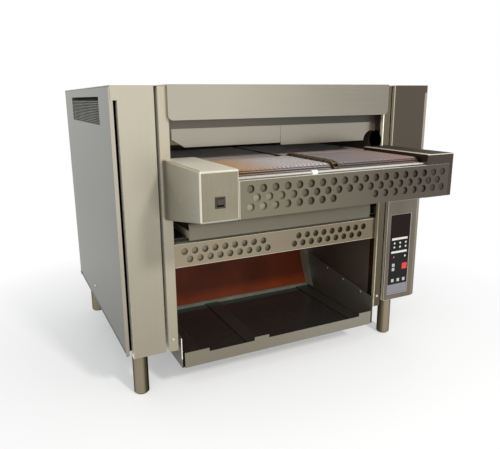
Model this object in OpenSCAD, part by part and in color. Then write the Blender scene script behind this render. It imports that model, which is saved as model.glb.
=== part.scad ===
// Conveyor broiler: a gas-fired cabinet on four legs, with a belt loader in front, a broiling chamber
// behind two height gates, a curved discharge chute and a pan shelf under it.
// Millimetres, +Z up, front towards -Y. The origin is on the floor, in the middle of the overall box.
// Each module draws from the cabinet's front plane, y = 0, and from_front() carries it into place.

/* [Cabinet] */
// Width over the side panels
cabinet_w = 940; // [910:1:1000]
// Depth of the side panels
cabinet_d = 704; // [680:1:760]
// Height of the roof above the floor
cabinet_top = 809; // [800:1:840]
// Height of the side panels' lower edge above the floor
underside = 152; // [145:1:160]
// Thickness of the panel sheet
sheet = 2; // [1.5:0.1:2.5]
// Width of the folded flange along a side panel's upper and rear edges
side_flange = 14; // [10:1:18]
// Width of a side panel's front flange
front_flange = 9; // [7:1:11]
// Depth of the raised box on the back panel
back_box_d = 42; // [36:1:60]
// Width of the flat flange beside the back box
back_flange = 30; // [24:1:50]
// Height of the flat flange above the back box
back_upper = 88; // [60:1:140]
// Rise of the base frame's outer lip above its plate, up to the side panel's sheet
base_lip = 15; // [10:1:20]
// Thickness of the base frame's sheet
base_sheet = 3; // [2:0.5:4]
// Depth of the base frame's rear cross member
base_rear_d = 100; // [80:1:140]

/* [Legs] */
// Diameter of a leg
leg_d = 41.2; // [38:0.1:50]
// Wall of a leg
leg_wall = 2; // [1.5:0.1:3]
// Bevel round a leg's foot, and the thickness of its closed end
leg_foot = 5; // [2:0.5:8]
// Distance of a leg's centre from the side of the cabinet
leg_inset = 51; // [45:1:60]
// Distance of a front leg's centre behind the front plane
leg_front_y = 74; // [65:1:100]
// Gap between a rear leg's flange and the base plate's rear edge
leg_rear_gap = 4; // [1:0.5:20]
// Diameter of the flange at the top of a leg
leg_flange_d = 58; // [52:1:64]
// Thickness of that flange
leg_flange_t = 4; // [2:0.5:6]

/* [Opening] */
// Width of the left compartment, from the cabinet's side to the inner wall
left_bay_w = 137; // [128:1:150]
// Width of the right compartment
right_bay_w = 162; // [160:1:175]
// Width of a front post
post_w = 25; // [20:1:30]
// Depth of a front post
post_d = 30; // [28:1:34]
// Drop of the posts below the side panels
post_drop = 14; // [8:1:20]

/* [Front covers] */
// Groove between a cover and what is beside it
cover_gap = 9; // [7:1:11]
// Gap between the right cover and the right side panel's front flange
right_gap = 2; // [1:0.5:4]
// Drop of the left cover below the side panels
cover_drop = 11; // [4:1:16]
// Depth of a cover's folded edges
cover_return = 18; // [10:1:25]
// Height of the left cover's tab
left_tab_h = 33; // [20:1:50]
// Height of the right cover's tab
right_tab_h = 21; // [15:1:50]
// Distance of a tab from the side of the cabinet
tab_inset = 3; // [1:1:8]

/* [Hood] */
// Lap of the hood over each post
hood_side = 4.5; // [3:0.5:10]
// Height of the hood
hood_h = 82; // [70:1:90]
// Reach of the hood in front of the posts
hood_reach = 12; // [8:1:20]
// Lap of the hood over the roof
hood_lap = 60; // [30:1:100]
// Radius of the hood's lower corners
hood_corner_r = 12; // [6:1:20]

/* [Vents] */
// Front end of a side vent, behind the front plane
vent_y = 121; // [80:1:160]
// Length of a side vent
vent_l = 437; // [300:1:460]
// Height of a side vent
vent_h = 68; // [50:1:90]
// Distance of a side vent below the roof
vent_drop = 24; // [18:1:40]
// Number of blades behind a side vent
louvre_count = 14; // [10:1:16]
// Reach of the blades inwards
louvre_d = 26; // [18:1:34]
// Thickness of a blade
louvre_t = 1.5; // [1:0.1:2]
// Width of the flue in the roof and the chamber's ceiling
flue_w = 420; // [300:1:480]
// Length of the flue
flue_l = 150; // [100:1:180]
// Front end of the flue, behind the front plane
flue_y = 130; // [110:1:160]
// Width of a flue slot in the roof
flue_slot = 16; // [10:1:20]
// Spacing of the flue slots and of the back vents
slot_pitch = 30; // [24:1:40]
// Height of a back vent slot
back_slot_h = 6; // [4:1:10]
// Length of a back vent slot
back_slot_l = 220; // [150:1:260]
// Number of back vent slots in each column
back_slot_count = 6; // [3:1:8]

/* [Belts] */
// Drop of the loader's belts below the roof
belt_drop = 177; // [165:1:185]
// Thickness of a belt
belt_t = 2.5; // [2:0.1:4]
// Gap between a belt's edge and the wall beside it
belt_side = 5; // [3:1:10]
// Gap between the two lanes
lane_gap = 20; // [18:1:30]
// Running gap between a roller and its belt
run_gap = 0.3; // [0.2:0.05:0.5]
// Radius of the loader's rollers
roller_r = 15; // [12:0.5:17]
// Radius of the loader's shafts
shaft_r = 8; // [6:0.5:9]
// Rear loader shaft, in front of the posts
loader_axis_out = 24; // [22:1:30]
// Drop of the broiling belts below the loader's
broil_drop = 6; // [2:1:10]
// Radius of the broiling rollers
broil_roller_r = 20; // [17:0.5:22]
// Radius of the broiling shafts
broil_shaft_r = 10; // [8:0.5:12]
// Front broiling shaft, behind the front plane
broil_front_y = 52; // [50:1:60]
// Rear broiling shaft, behind the front plane
broil_rear_y = 325; // [300:1:330]
// Gap between a broiling belt and the inner wall
broil_side = 12; // [8:1:20]
// Radial clearance of a shaft in its bearing
shaft_fit = 0.05; // [0.02:0.01:0.1]
// Length of a bearing
bearing_l = 14; // [10:1:18]
// Wall of a bearing round its shaft
bearing_wall = 7; // [5:0.5:8]
// Room round a shaft where it passes a wall
wall_room = 2; // [1:0.5:3]
// Width of the roller chain between the lanes
chain_w = 15; // [12:0.5:16]
// Height of the roller chain
chain_t = 8; // [6:0.5:10]
// Thickness of the bed under the loader's belts
bed_t = 3; // [2:0.5:4]

/* [Loader] */
// Reach of the loader in front of the posts
loader_reach = 247; // [230:1:270]
// Reach of each loader box past the inner wall beside it
box_lap = 21.5; // [18:0.5:24]
// Width of a loader box
box_w = 86; // [80:1:92]
// Rise of the boxes above the belts
box_rise = 8; // [4:1:14]
// Height of a box at its front
box_front_h = 107; // [102:1:115]
// Height of a box at the posts
box_rear_h = 150; // [130:1:160]
// Distance of the guard's lower edge above the boxes' lower front edge
guard_lift = 1; // [0:1:4]
// Height of the perforated guard
guard_h = 80; // [76:1:84]
// Depth of the guard's folded edges
guard_fold = 8; // [5:1:12]
// Distance of the guard's right end from the side of the right box
guard_short = 15; // [5:1:30]
// Diameter of a guard hole
hole_d = 17.5; // [12:0.5:19]
// Spacing of the guard's holes along a row
hole_pitch = 29.7; // [27:0.1:34]
// Spacing of the guard's rows
row_pitch = 19.3; // [18.5:0.1:20]
// First hole of a row, from the guard's left end
hole_first = 26; // [20:1:40]
// Bare margin at the guard's right end
hole_last = 20; // [15:1:40]
// Distance of the top row below the guard's upper edge
row_first = 18; // [16:1:20]
// Middle of the bare place in the bottom row, to the right of the opening's middle
bare_x = 43; // [0:1:80]
// Width of that bare place
bare_w = 88; // [60:1:120]
// Diameter of the nose rod behind the guard
nose_d = 8; // [6:0.5:10]
// Gap before and behind the nose rod
nose_gap = 2; // [1:0.5:3]
// Nose rod's top, below the belts
nose_drop = 11; // [8:0.5:14]

/* [Switch] */
// Width of the switch opening in the left box
switch_w = 18.5; // [16:0.5:21]
// Height of the switch opening
switch_h = 20; // [18:0.5:23]
// Middle of the switch, from the left side of the box
switch_in = 43; // [35:1:50]
// Middle of the switch above the box's lower front edge
switch_up = 41; // [36:1:44]
// Rim of the switch housing on the box
switch_rim = 2; // [1.5:0.5:3]
// Thickness of that rim
switch_rim_t = 1.5; // [1:0.1:2]
// Depth of the switch housing
switch_d = 22; // [20:1:26]
// Wall of the switch housing
switch_wall = 1.5; // [1:0.1:2]
// Gap between the rocker and its housing
switch_gap = 2.2; // [1.8:0.1:3]
// Reach of the rocker's raised end in front of the box
switch_proud = 4; // [3:0.5:5]
// Tilt of the rocker to each side
switch_tilt = 8; // [5:1:10]
// Distance of the rocker's pin behind the box face
switch_pin_in = 8; // [7:0.5:9]
// Radius of the rocker's pin
switch_pin_r = 1.5; // [1:0.1:2]

/* [Gates] */
// Height of the right gate; the left one ends level with it
gate_h = 52; // [50:1:56]
// Gap between the right gate and the belts
gate_gap = 23; // [18:1:30]
// Rise of the left gate above the right one
gate_step = 6; // [0:1:10]
// Travel of a gate from its lowest place
gate_travel = 26; // [16:1:28]
// Clearance between a gate and what guides it
gate_clear = 0.3; // [0.2:0.05:0.5]
// Gap between a gate's outer end and the inner wall
gate_in = 15; // [12:1:20]
// Width of the left gate's cut corner
gate_cut_w = 33; // [20:1:45]
// Height of the left gate's cut corner
gate_cut_h = 20; // [10:1:30]
// Radius of the arch at the right gate's corner, in gate, liner, post and wall
arch_r = 28; // [24:1:30]
// Stud of a gate above its lower edge
stud_up = 20; // [18:1:22]
// Radius of a gate's stud
stud_r = 3; // [2:0.5:4]
// Radius of the collar that keeps a stud in its slot
collar_r = 7; // [6:0.5:9]
// Thickness of that collar
collar_t = 1.5; // [1:0.1:2]
// Distance of a gate's studs from the middle of its lane
stud_out = 90; // [60:1:110]

/* [Chamber] */
// Front of the chamber liner, behind the front plane
liner_y = 34; // [32.5:0.5:34]
// Rear of the chamber liner
liner_rear_y = 440; // [430:1:470]
// Lower edge of the liner's front above the belts
liner_lift = 36; // [34:1:37]
// Ceiling of the chamber below the roof
ceiling_drop = 47; // [40:1:55]
// Rise of the liner's rear wall above the chute's bend
liner_lap = 15; // [5:1:50]
// Diameter of a burner tube
burner_d = 38; // [30:1:44]
// Wall of a burner tube
burner_wall = 1.5; // [1:0.1:2.5]
// First burner tube, behind the front plane
burner_y = 110; // [100:1:120]
// Spacing of the burner tubes
burner_pitch = 85; // [70:1:95]
// Number of burner tubes at each level
burner_count = 3; // [2:1:3]
// Upper burner tubes below the roof
upper_burner_drop = 84; // [75:1:90]
// Lower burner tubes below the belts
lower_burner_drop = 102; // [95:1:108]
// Width of a burner tube's port slot
port_w = 3; // [2:0.5:5]
// Radius of the igniter's ceramic rod
igniter_r = 5; // [4:0.5:7]
// Igniter above the lower burner tubes
igniter_up = 30; // [28:1:34]
// Reach of the igniter into the chamber
igniter_reach = 40; // [30:1:60]

/* [Gas train] */
// Gas header, outside the left inner wall
header_out = 60; // [52:1:66]
// Diameter of the gas header
header_d = 27; // [22:1:30]
// Diameter of a branch to a burner
branch_d = 16; // [12:1:20]
// Bore of the gas inlet's coupling
inlet_bore_d = 24.4; // [20:0.1:26]
// Depth of the coupling's bore
inlet_bore_l = 20; // [15:1:25]
// Diameter of the coupling
inlet_d = 38; // [34:1:42]
// Length of the coupling
inlet_l = 30; // [26:1:34]
// Size of the gas valve across
valve_w = 50; // [40:1:56]
// Length of the gas valve
valve_l = 80; // [60:1:90]
// Front of the gas valve, behind the front plane
valve_y = 560; // [540:1:575]

/* [Drives] */
// Size of the drive gearbox across
gearbox_w = 80; // [70:1:84]
// Depth of the drive gearbox along its shaft
gearbox_d = 50; // [40:1:54]
// Diameter of the drive motor
motor_d = 70; // [60:1:74]
// Length of the drive motor
motor_l = 140; // [110:1:160]
// Size of the loader's gearbox across
small_gearbox_w = 38; // [36:1:42]
// Depth of the loader's gearbox along its shaft
small_gearbox_d = 48; // [40:1:52]
// Diameter of the loader's motor
small_motor_d = 38; // [32:1:40]
// Length of the loader's motor
small_motor_l = 90; // [70:1:110]
// Radius of a gearbox's mounting boss
boss_r = 4; // [3:0.5:4]
// Gap between a gearbox and the bearing next to it
boss_gap = 2; // [1:0.5:4]

/* [Crumb tray] */
// Distance of the crumb tray's sides from the inner walls
crumb_side = 38.5; // [34:0.5:43]
// Drop of the crumb tray's lower edge below the belts
crumb_drop = 200; // [195:1:205]
// Height of the crumb tray's front
crumb_h = 42; // [34:1:46]
// Length of the crumb tray behind its front
crumb_l = 340; // [280:1:345]
// Reach of the tray's front before the posts
crumb_out = 6; // [5:1:15]
// Rise of the tray's floor above its front's lower edge
crumb_floor = 5; // [4:0.5:8]
// Height of the tray's walls above its floor
crumb_wall_h = 20; // [15:1:26]
// Clearance between the tray and its runners
crumb_clear = 0.3; // [0.2:0.05:0.5]
// Width of a runner's shelf
runner_w = 48; // [46:1:55]
// Height of a runner
runner_h = 24; // [18:1:30]
// Thickness of a runner
runner_t = 3; // [2:0.5:3.5]
// Front end of the runners, behind the front plane
runner_y = 15; // [10:1:25]

/* [Lower guard] */
// Drop of the lower guard's lower edge below the crumb tray's
low_guard_drop = 73; // [66:1:80]
// Height of the lower guard
low_guard_h = 63; // [58:1:66]
// Lower guard, behind the front plane
low_guard_y = 10; // [8:1:14]
// Diameter of a hole in the lower guard
low_hole_d = 18; // [12:0.5:19]
// Spacing of the lower guard's holes
low_pitch = 28.3; // [26:0.1:34]
// Spacing of the lower guard's rows
low_row_pitch = 22; // [20:0.5:24]
// Upper row below the lower guard's upper edge
low_row_first = 21; // [20:0.5:22]
// First hole of a row, from the left inner wall
low_first = 30; // [20:1:40]
// Bare margin at the right end of the lower guard
low_last = 35; // [20:1:60]
// Middle of the bare place, to the right of the opening's middle
low_bare_x = -4.5; // [-40:0.5:40]
// Width of the bare place
low_bare_w = 76; // [60:1:110]
// Depth of the lower guard's folded edges
low_fold = 10; // [6:1:16]
// Depth of the ledge along the lower guard's upper edge
low_ledge = 42; // [20:1:60]

/* [Discharge chute] */
// Distance of the chute's sides from the inner walls
chute_side = 23.5; // [20:0.5:35]
// Back face of the release sheet's straight part, behind the front plane
chute_y = 412; // [405:1:420]
// Drop of the upper end of the chute's bend below the lower guard
chute_bend_drop = 29; // [15:1:40]
// Radius of the chute's bend
chute_r = 450; // [420:1:480]
// Rise of the chute's lower edge above the pan shelf's underside
chute_lift = 20; // [16:1:26]
// Drop of the chute's upper edge below the belts
chute_top_drop = 72; // [60:1:90]
// Width of a cheek
cheek_w = 45; // [35:1:46]
// Thickness of the release sheet
release_t = 1; // [0.6:0.1:1.5]
// Gap between the release sheet and the steel round it
release_gap = 0.2; // [0.1:0.05:0.3]
// Radius of the hanger pins between cheek and wall
hanger_r = 6; // [4:0.5:8]
// Distance of the hanger pins in front of the chute
hanger_in = 22; // [15:1:28]

/* [Pan shelf] */
// Drop of the pan shelf's underside below the side panels
shelf_drop = 64; // [58:1:70]
// Length of the pan shelf behind its lip
shelf_l = 372; // [362:1:390]
// Reach of the lip before the posts
shelf_out = 8; // [4:1:12]
// Gap between a side plate and the inner wall
shelf_side = 6; // [4:1:10]
// Distance of the lip's ends from the inner walls
lip_inset = 14; // [10:1:20]
// Drop of the lip below the shelf
lip_drop = 2; // [0:0.5:4]
// Height of the lip between its tabs
lip_h = 33; // [25:1:36]
// Rise of the lip's tabs
tab_rise = 10; // [6:1:14]
// Width of the left tab
left_lip_tab_w = 70; // [50:1:90]
// Middle of the middle tab, to the right of the opening's middle
mid_lip_tab_x = -77.5; // [-100:0.5:0]
// Width of the middle tab
mid_lip_tab_w = 46; // [30:1:60]
// Width of the right tab
right_lip_tab_w = 45; // [30:1:80]
// Height of the guide strips on the shelf
strip_h = 3; // [2:0.5:4]
// Rise of a shelf plate's front end above the side panels' lower edge
plate_up = 20; // [16:1:28]
// Slope of a side plate's upper edge
plate_slope = 8; // [5:0.5:9]
// First bolt of a side plate, behind the front plane
bolt_y = 56; // [50:1:70]
// Spacing of the bolts
bolt_pitch = 91; // [70:1:95]
// Bolts below the side plate's upper edge
bolt_down = 9; // [8:0.5:10]
// Height of the upstand at the shelf's rear
upstand_h = 20; // [18:1:24]

/* [Control panel] */
// Height of the bezel
bezel_h = 320; // [310:1:326]
// Thickness of the bezel
bezel_t = 4; // [3:0.5:6]
// Distance of the bezel's right edge from the right cover's
bezel_short = 2; // [0:0.5:3]
// Margin of the bezel to the left of the keypad
bezel_left = 15; // [13:1:17]
// Margin of the bezel to the right of the keypad
bezel_right = 22; // [20:1:23]
// Margin of the bezel below the keypad
bezel_foot = 19; // [14:1:24]
// Height of the keypad, with the pale strip below it
pad_h = 256; // [252:1:260]
// Thickness of the keypad plate
pad_t = 2; // [1.5:0.1:2.5]
// Height of the pale strip at the keypad's foot
strip_band_h = 30; // [26:1:34]
// Height of the display window
display_h = 68; // [60:1:72]
// Width of the display window
display_w = 74; // [60:1:75]
// Thickness of the display window and of a lamp
display_t = 0.8; // [0.5:0.1:1]
// Distance of the display below the keypad's upper edge
display_drop = 4; // [2:1:8]
// Middle of the keys and lamps, to the right of the keypad's middle
key_shift = 3; // [0:0.5:3]
// Spacing of the keys and lamps across
key_pitch = 22.5; // [20:0.5:22.5]
// Side of a small key
key_w = 10; // [8:0.5:12]
// Side of the stop key
stop_w = 20; // [17:0.5:22]
// Height of the bottom keys above the pale strip
low_key_up = 13; // [12:1:16]
// Height of the stop key above the bottom keys
stop_up = 44; // [38:1:48]
// Spacing of the up and down keys
step_pitch = 14; // [13:0.5:16]
// Height of the two lower lamps above the stop key
warn_up = 33; // [26:1:36]
// Height of the first lamp row above the lower lamps
row_up = 32; // [28:1:36]
// Spacing of the lamp rows
lamp_pitch = 13; // [8:0.5:14]
// Radius of a lamp
lamp_r = 3.2; // [2.4:0.1:3.6]
// Travel of a key
key_travel = 0.8; // [0.5:0.1:1]
// Clearance round a key
key_clear = 0.3; // [0.2:0.05:0.5]
// Overlap of a key's flange behind the plate
key_flange = 1.2; // [0.8:0.1:1.5]
// Thickness of a key's flange
key_flange_t = 1; // [0.8:0.1:1.5]
// Distance of the control board behind the cover
board_gap = 12; // [10:1:20]
// Thickness of the control board
board_t = 2; // [1.5:0.1:2.5]
// Margin of the control board round the keypad opening
board_margin = 10; // [9:0.5:11]
// Radius of the board's spacers
spacer_r = 3; // [2:0.5:4]

/* [Fasteners] */
// Radius of a screw head
head_r = 4.5; // [4:0.5:6]
// Height of a screw head
head_h = 2.4; // [1.5:0.1:3]
// Radius of a screw's shank
shank_r = 2.5; // [2:0.1:3]
// Clearance of a shank in its hole
shank_clear = 0.1; // [0.05:0.05:0.2]
// Height of the posts' screws above the posts' lower ends
post_screw_up = 34; // [25:1:45]
// Side panel's screw, behind the front plane
side_screw_y = 396; // [300:1:450]
// Side panel's screw above the panel's lower edge
side_screw_up = 57; // [40:1:80]
// Radius of the cable gland's neck
gland_r = 12; // [10:0.5:14]
// Bore of the cable gland
gland_bore_d = 14; // [10:0.5:16]
// Cable gland and gas inlet above the underside of the panels
service_up = 150; // [120:1:180]

/* [Hidden] */
$fn = 48;

// Overhang of a cutting solid past the face that it cuts
past = 1;

// Cabinet, from its front plane
half_w = cabinet_w / 2;
panel_top = cabinet_top - sheet;
back_y = cabinet_d + back_box_d;
leg_rear_y = back_y - base_sheet - leg_rear_gap - leg_flange_d / 2;
front_y = (loader_reach + switch_proud - back_y) / 2;
wall_l = -half_w + left_bay_w;
wall_r = half_w - right_bay_w;
opening_x = (wall_l + wall_r) / 2;
post_foot = underside - post_drop;
back_box_top = cabinet_top - back_upper;
back_half = half_w - back_flange;
vent_top = cabinet_top - vent_drop;
belt_top = cabinet_top - belt_drop;

// Left and right front covers
left_cover = [-half_w + front_flange + cover_gap, wall_l - post_w - cover_gap];
right_cover = [wall_r + post_w + cover_gap, half_w - front_flange - right_gap];

// Loader, its boxes and lanes
box_l = [wall_l - box_lap, wall_l - box_lap + box_w];
box_r = [wall_r + box_lap - box_w, wall_r + box_lap];
box_top = belt_top + box_rise;
box_foot = box_top - box_front_h;
lanes = [
    [box_l[1] + belt_side, opening_x - lane_gap / 2],
    [opening_x + lane_gap / 2, box_r[0] - belt_side]
];
loader_z = belt_top - belt_t - run_gap - roller_r;
nose_y = -loader_reach + guard_fold + nose_gap + nose_d / 2;
loader_axes = [nose_y + nose_d / 2 + nose_gap + chain_t + run_gap + roller_r, -loader_axis_out];

// Broiling belts
broil_lanes = [
    [wall_l + broil_side, opening_x - lane_gap / 2],
    [opening_x + lane_gap / 2, wall_r - broil_side]
];
broil_z = belt_top - broil_drop - belt_t - run_gap - broil_roller_r;
broil_axes = [broil_front_y, broil_rear_y];

// Burners and gas train
burner_places = [for (i = [0 : burner_count - 1]) burner_y + i * burner_pitch];
upper_burner_z = cabinet_top - upper_burner_drop;
lower_burner_z = belt_top - lower_burner_drop;
header_x = wall_l - header_out;
igniter_z = lower_burner_z + igniter_up;
inlet_z = underside + service_up;

// Gates: their middle line, and the lowest place of their lower edge
gate_y = liner_y - gate_clear - sheet;
gate_foot = belt_top + gate_gap;
liner_front_z = belt_top + liner_lift;
ceiling_z = cabinet_top - ceiling_drop;

// Switch in the left box
switch_x = box_l[0] + switch_in;
switch_z = box_foot + switch_up;

// Control panel
bezel_x = right_cover[0];
bezel_w = right_cover[1] - bezel_short - bezel_x;
bezel_z = underside;
pad_w = bezel_w - bezel_left - bezel_right;
pad_x = bezel_x + bezel_left + pad_w / 2;
key_x = pad_x + key_shift;
pad_z = bezel_z + bezel_foot;
pad_face = -sheet - pad_t;
pad_top = pad_z + pad_h;
low_key_z = pad_z + strip_band_h + low_key_up;
stop_z = low_key_z + stop_up;
warn_z = stop_z + warn_up;
lamp_z = warn_z + row_up;
cutout_w = 2 * key_pitch + stop_w + 4 * key_clear + 2 * key_flange;

// Pan shelf
shelf_z = underside - shelf_drop;
plate_rise = tan(plate_slope);
bolt_places = [for (i = [0 : 2]) bolt_y + i * bolt_pitch];
shelf_x = [wall_l + shelf_side, wall_r - shelf_side];

// Places of the screws on the back panel's flange
back_screw_x = half_w - side_flange / 2;
back_screw_z = [for (i = [0 : 3]) underside + service_up / 2 + i * service_up];

steel = "silver";
dull_steel = "gray";
dark = "dimgray";
black = "black";

// The cabinet's front plane, carried to its place in the overall box
module from_front() translate([0, front_y, 0]) children();

// A block between two limits along each axis
module block(x, y, z)
    translate([x[0], y[0], z[0]]) cube([x[1] - x[0], y[1] - y[0], z[1] - z[0]]);

// A round bar along one axis, between two limits
module rod_x(x, y, z, r) translate([x[0], y, z]) rotate([0, 90, 0]) cylinder(h = x[1] - x[0], r = r);
module rod_y(x, y, z, r) translate([x, y[0], z]) rotate([-90, 0, 0]) cylinder(h = y[1] - y[0], r = r);
module rod_z(x, y, z, r) translate([x, y, z[0]]) cylinder(h = z[1] - z[0], r = r);

// An outline of (y, z) points given a width along X, and one of (x, z) points given a depth along Y
module sideways(x) translate([x[0], 0, 0]) rotate([90, 0, 90]) linear_extrude(x[1] - x[0]) children();
module upright(y) translate([0, y[1], 0]) rotate([90, 0, 0]) linear_extrude(y[1] - y[0]) children();

// A rectangle with round lower corners, standing on z
module round_foot(x, z, r) {
    translate([x[0], z[0] + r]) square([x[1] - x[0], z[1] - z[0] - r]);
    translate([x[0] + r, z[0]]) square([x[1] - x[0] - 2 * r, 2 * r]);
    for (c = [x[0] + r, x[1] - r]) translate([c, z[0] + r]) circle(r);
}

// A band round two rollers, its width along X
module loop(x, axes, z, r) {
    for (y = axes) rod_x(x, y, z, r);
    block(x, axes, [z - r, z + r]);
}
module belt(x, axes, z, r, t) difference() {
    loop(x, axes, z, r + t);
    loop([x[0] - past, x[1] + past], axes, z, r);
}

// Cabinet
module base_frame() color(dark) from_front() {
    rear_y = back_y - base_sheet;
    outer = half_w - base_sheet;
    plate = [underside - base_sheet, underside];
    block([-outer, wall_l], [post_d, rear_y], plate);
    block([wall_r, outer], [post_d, rear_y], plate);
    block([wall_l, wall_r], [rear_y - base_rear_d, rear_y], plate);
    for (x = [[-outer, -outer + base_sheet], [outer - base_sheet, outer]])
        block(x, [sheet, cabinet_d - sheet], [plate[0], underside + base_lip]);
}

module leg() {
    top = underside - base_sheet;
    rotate_extrude() polygon([
        [0, 0], [leg_d / 2 - leg_foot, 0], [leg_d / 2, leg_foot], [leg_d / 2, top - leg_flange_t],
        [leg_flange_d / 2, top - leg_flange_t], [leg_flange_d / 2, top],
        [leg_d / 2 - leg_wall, top], [leg_d / 2 - leg_wall, leg_foot], [0, leg_foot]
    ]);
}
module legs() color(steel) from_front()
    for (x = [-1, 1], y = [leg_front_y, leg_rear_y])
        translate([x * (half_w - leg_inset), y, 0]) leg();

module side_panel() {
    flange = [-half_w, -half_w + side_flange];
    height = [underside, panel_top];
    difference() {
        union() {
            block([-half_w, -half_w + sheet], [0, cabinet_d], [underside + base_lip, panel_top]);
            block([-half_w, -half_w + front_flange], [0, sheet], height);
            block(flange, [cabinet_d - sheet, cabinet_d], height);
            block(flange, [0, cabinet_d], [panel_top - sheet, panel_top]);
        }
        block([-half_w - past, -half_w + sheet + past], [vent_y, vent_y + vent_l],
            [vent_top - vent_h, vent_top]);
        rod_x([-half_w - past, -half_w + sheet + past], side_screw_y, underside + side_screw_up,
            shank_r + shank_clear);
        for (z = back_screw_z)
            rod_y(-back_screw_x, [cabinet_d - sheet - past, cabinet_d + past], z, shank_r + shank_clear);
    }
}
module left_side_panel() color("lightslategray") from_front() side_panel();
module right_side_panel() color("lightslategray") from_front() mirror([1, 0, 0]) side_panel();

module roof_panel() color(steel) from_front() difference() {
    block([-half_w, half_w], [0, cabinet_d], [panel_top, cabinet_top]);
    slots = floor(flue_w / slot_pitch);
    for (i = [0 : slots - 1])
        translate([opening_x + (i - (slots - 1) / 2) * slot_pitch, 0, 0])
            block([-flue_slot / 2, flue_slot / 2], [flue_y, flue_y + flue_l],
                [panel_top - past, cabinet_top + past]);
}

module back_panel() color(steel) from_front() difference() {
    union() {
        block([-half_w, half_w], [cabinet_d, cabinet_d + sheet], [underside, panel_top]);
        block([-back_half, back_half], [cabinet_d, back_y], [underside, back_box_top]);
    }
    block([-back_half + sheet, back_half - sheet], [cabinet_d - past, back_y - sheet],
        [underside + sheet, back_box_top - sheet]);
    for (side = [-1, 1], i = [0 : back_slot_count - 1])
        block([side * back_half / 2 - back_slot_l / 2, side * back_half / 2 + back_slot_l / 2],
            [back_y - sheet - past, back_y + past],
            [back_box_top - (i + 2) * slot_pitch, back_box_top - (i + 2) * slot_pitch + back_slot_h]);
    rod_y(header_x, [back_y - sheet - past, back_y + past], inlet_z, inlet_d / 2 + shank_clear);
    rod_y(-header_x, [back_y - sheet - past, back_y + past], inlet_z, gland_r + shank_clear);
    for (x = [-1, 1], z = back_screw_z)
        rod_y(x * back_screw_x, [cabinet_d - past, cabinet_d + sheet + past], z, shank_r + shank_clear);
}

module post(x, screw_z) difference() {
    block(x, [0, post_d], [post_foot, panel_top]);
    block([x[0] + sheet, x[1] - sheet], [sheet, post_d + past], [post_foot - past, panel_top + past]);
    rod_y((x[0] + x[1]) / 2, [-past, sheet + past], screw_z, shank_r + shank_clear);
}
module left_post() color("lightgray") from_front() post([wall_l - post_w, wall_l], post_foot + post_screw_up);
module right_post() color("lightgray") from_front() difference() {
    post([wall_r, wall_r + post_w], post_foot + post_screw_up);
    side_arch();
}

// The chamber's inner walls, drilled for the shafts, bolts, burners and hangers
module inner_wall(x) difference() {
    cut = [x[0] - past, x[1] + past];
    block(x, [post_d, cabinet_d], [underside, panel_top]);
    for (y = broil_axes) rod_x(cut, y, broil_z, broil_shaft_r + wall_room);
    for (y = bolt_places) rod_x(cut, y, bolt_z(y), shank_r + shank_clear);
}
module left_inner_wall() color(dark) from_front() difference() {
    inner_wall([wall_l - sheet, wall_l]);
    rod_x([wall_l - sheet - past, wall_l + past], burner_y, igniter_z, igniter_r + shank_clear);
}
module right_inner_wall() color(dark) from_front() difference() {
    inner_wall([wall_r, wall_r + sheet]);
    side_arch();
}
// The arch at the right gate's corner: its part in the wall beside the gate, and in the gate and the liner
module side_arch() rod_x([wall_r - past, wall_r + sheet + past], gate_y, gate_foot, arch_r);
module front_arch(y) rod_y(gate_right_end(), [y - past, y + sheet + past], gate_foot, arch_r);

// A front cover: a face with folded edges, which end below the side panels' upper flanges
module cover(x, foot) {
    block(x, [-sheet, 0], [foot, cabinet_top]);
    for (edge = [[x[0], x[0] + sheet], [x[1] - sheet, x[1]]])
        block(edge, [0, cover_return], [foot, panel_top - sheet]);
}
module left_front_cover() color("tan") from_front() {
    cover(left_cover, underside - cover_drop);
    block([-half_w + tab_inset, left_cover[0]], [-sheet, 0], [cabinet_top - left_tab_h, cabinet_top]);
}
module right_front_cover() color("tan") from_front() {
    difference() {
        cover(right_cover, bezel_z);
        block([key_x - cutout_w / 2, key_x + cutout_w / 2], [-sheet - past, past],
            [pad_z + strip_band_h, pad_top - display_drop]);
    }
    block([right_cover[1], half_w - tab_inset], [-sheet, 0], [cabinet_top - right_tab_h, cabinet_top]);
}

module front_hood() color("tan") from_front() {
    x = [wall_l - hood_side, wall_r + hood_side];
    z = [cabinet_top + sheet - hood_h, cabinet_top + sheet];
    upright([-hood_reach, -hood_reach + sheet]) round_foot(x, z, hood_corner_r);
    difference() {
        upright([-hood_reach, 0]) round_foot(x, z, hood_corner_r);
        upright([-hood_reach - past, past])
            round_foot([x[0] + sheet, x[1] - sheet], [z[0] + sheet, z[1] + past], hood_corner_r - sheet);
    }
    block(x, [-hood_reach, hood_lap], [cabinet_top, cabinet_top + sheet]);
}

// Slanted blades on two end plates, against the inside of each side panel
module louvre_pack() {
    x = [-half_w + sheet, -half_w + sheet + louvre_d];
    z = [vent_top - vent_h - sheet, vent_top + sheet];
    pitch = (vent_h - louvre_d / 2) / (louvre_count - 1);
    for (y = [vent_y - sheet, vent_y + vent_l]) block(x, [y, y + sheet], z);
    for (i = [0 : louvre_count - 1])
        translate([x[0], 0, vent_top - vent_h + i * pitch])
            upright([vent_y - sheet, vent_y + vent_l + sheet])
                polygon([
                    [0, 0], [louvre_d, louvre_d / 2], [louvre_d, louvre_d / 2 + louvre_t], [0, louvre_t]
                ]);
}
module vent_louvres() color(dark) from_front() {
    louvre_pack();
    mirror([1, 0, 0]) louvre_pack();
}

// A screw drawn along +Z from the face under its head
module screw() {
    cylinder(h = head_h, r = head_r);
    translate([0, 0, -sheet]) cylinder(h = sheet, r = shank_r);
}
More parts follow.
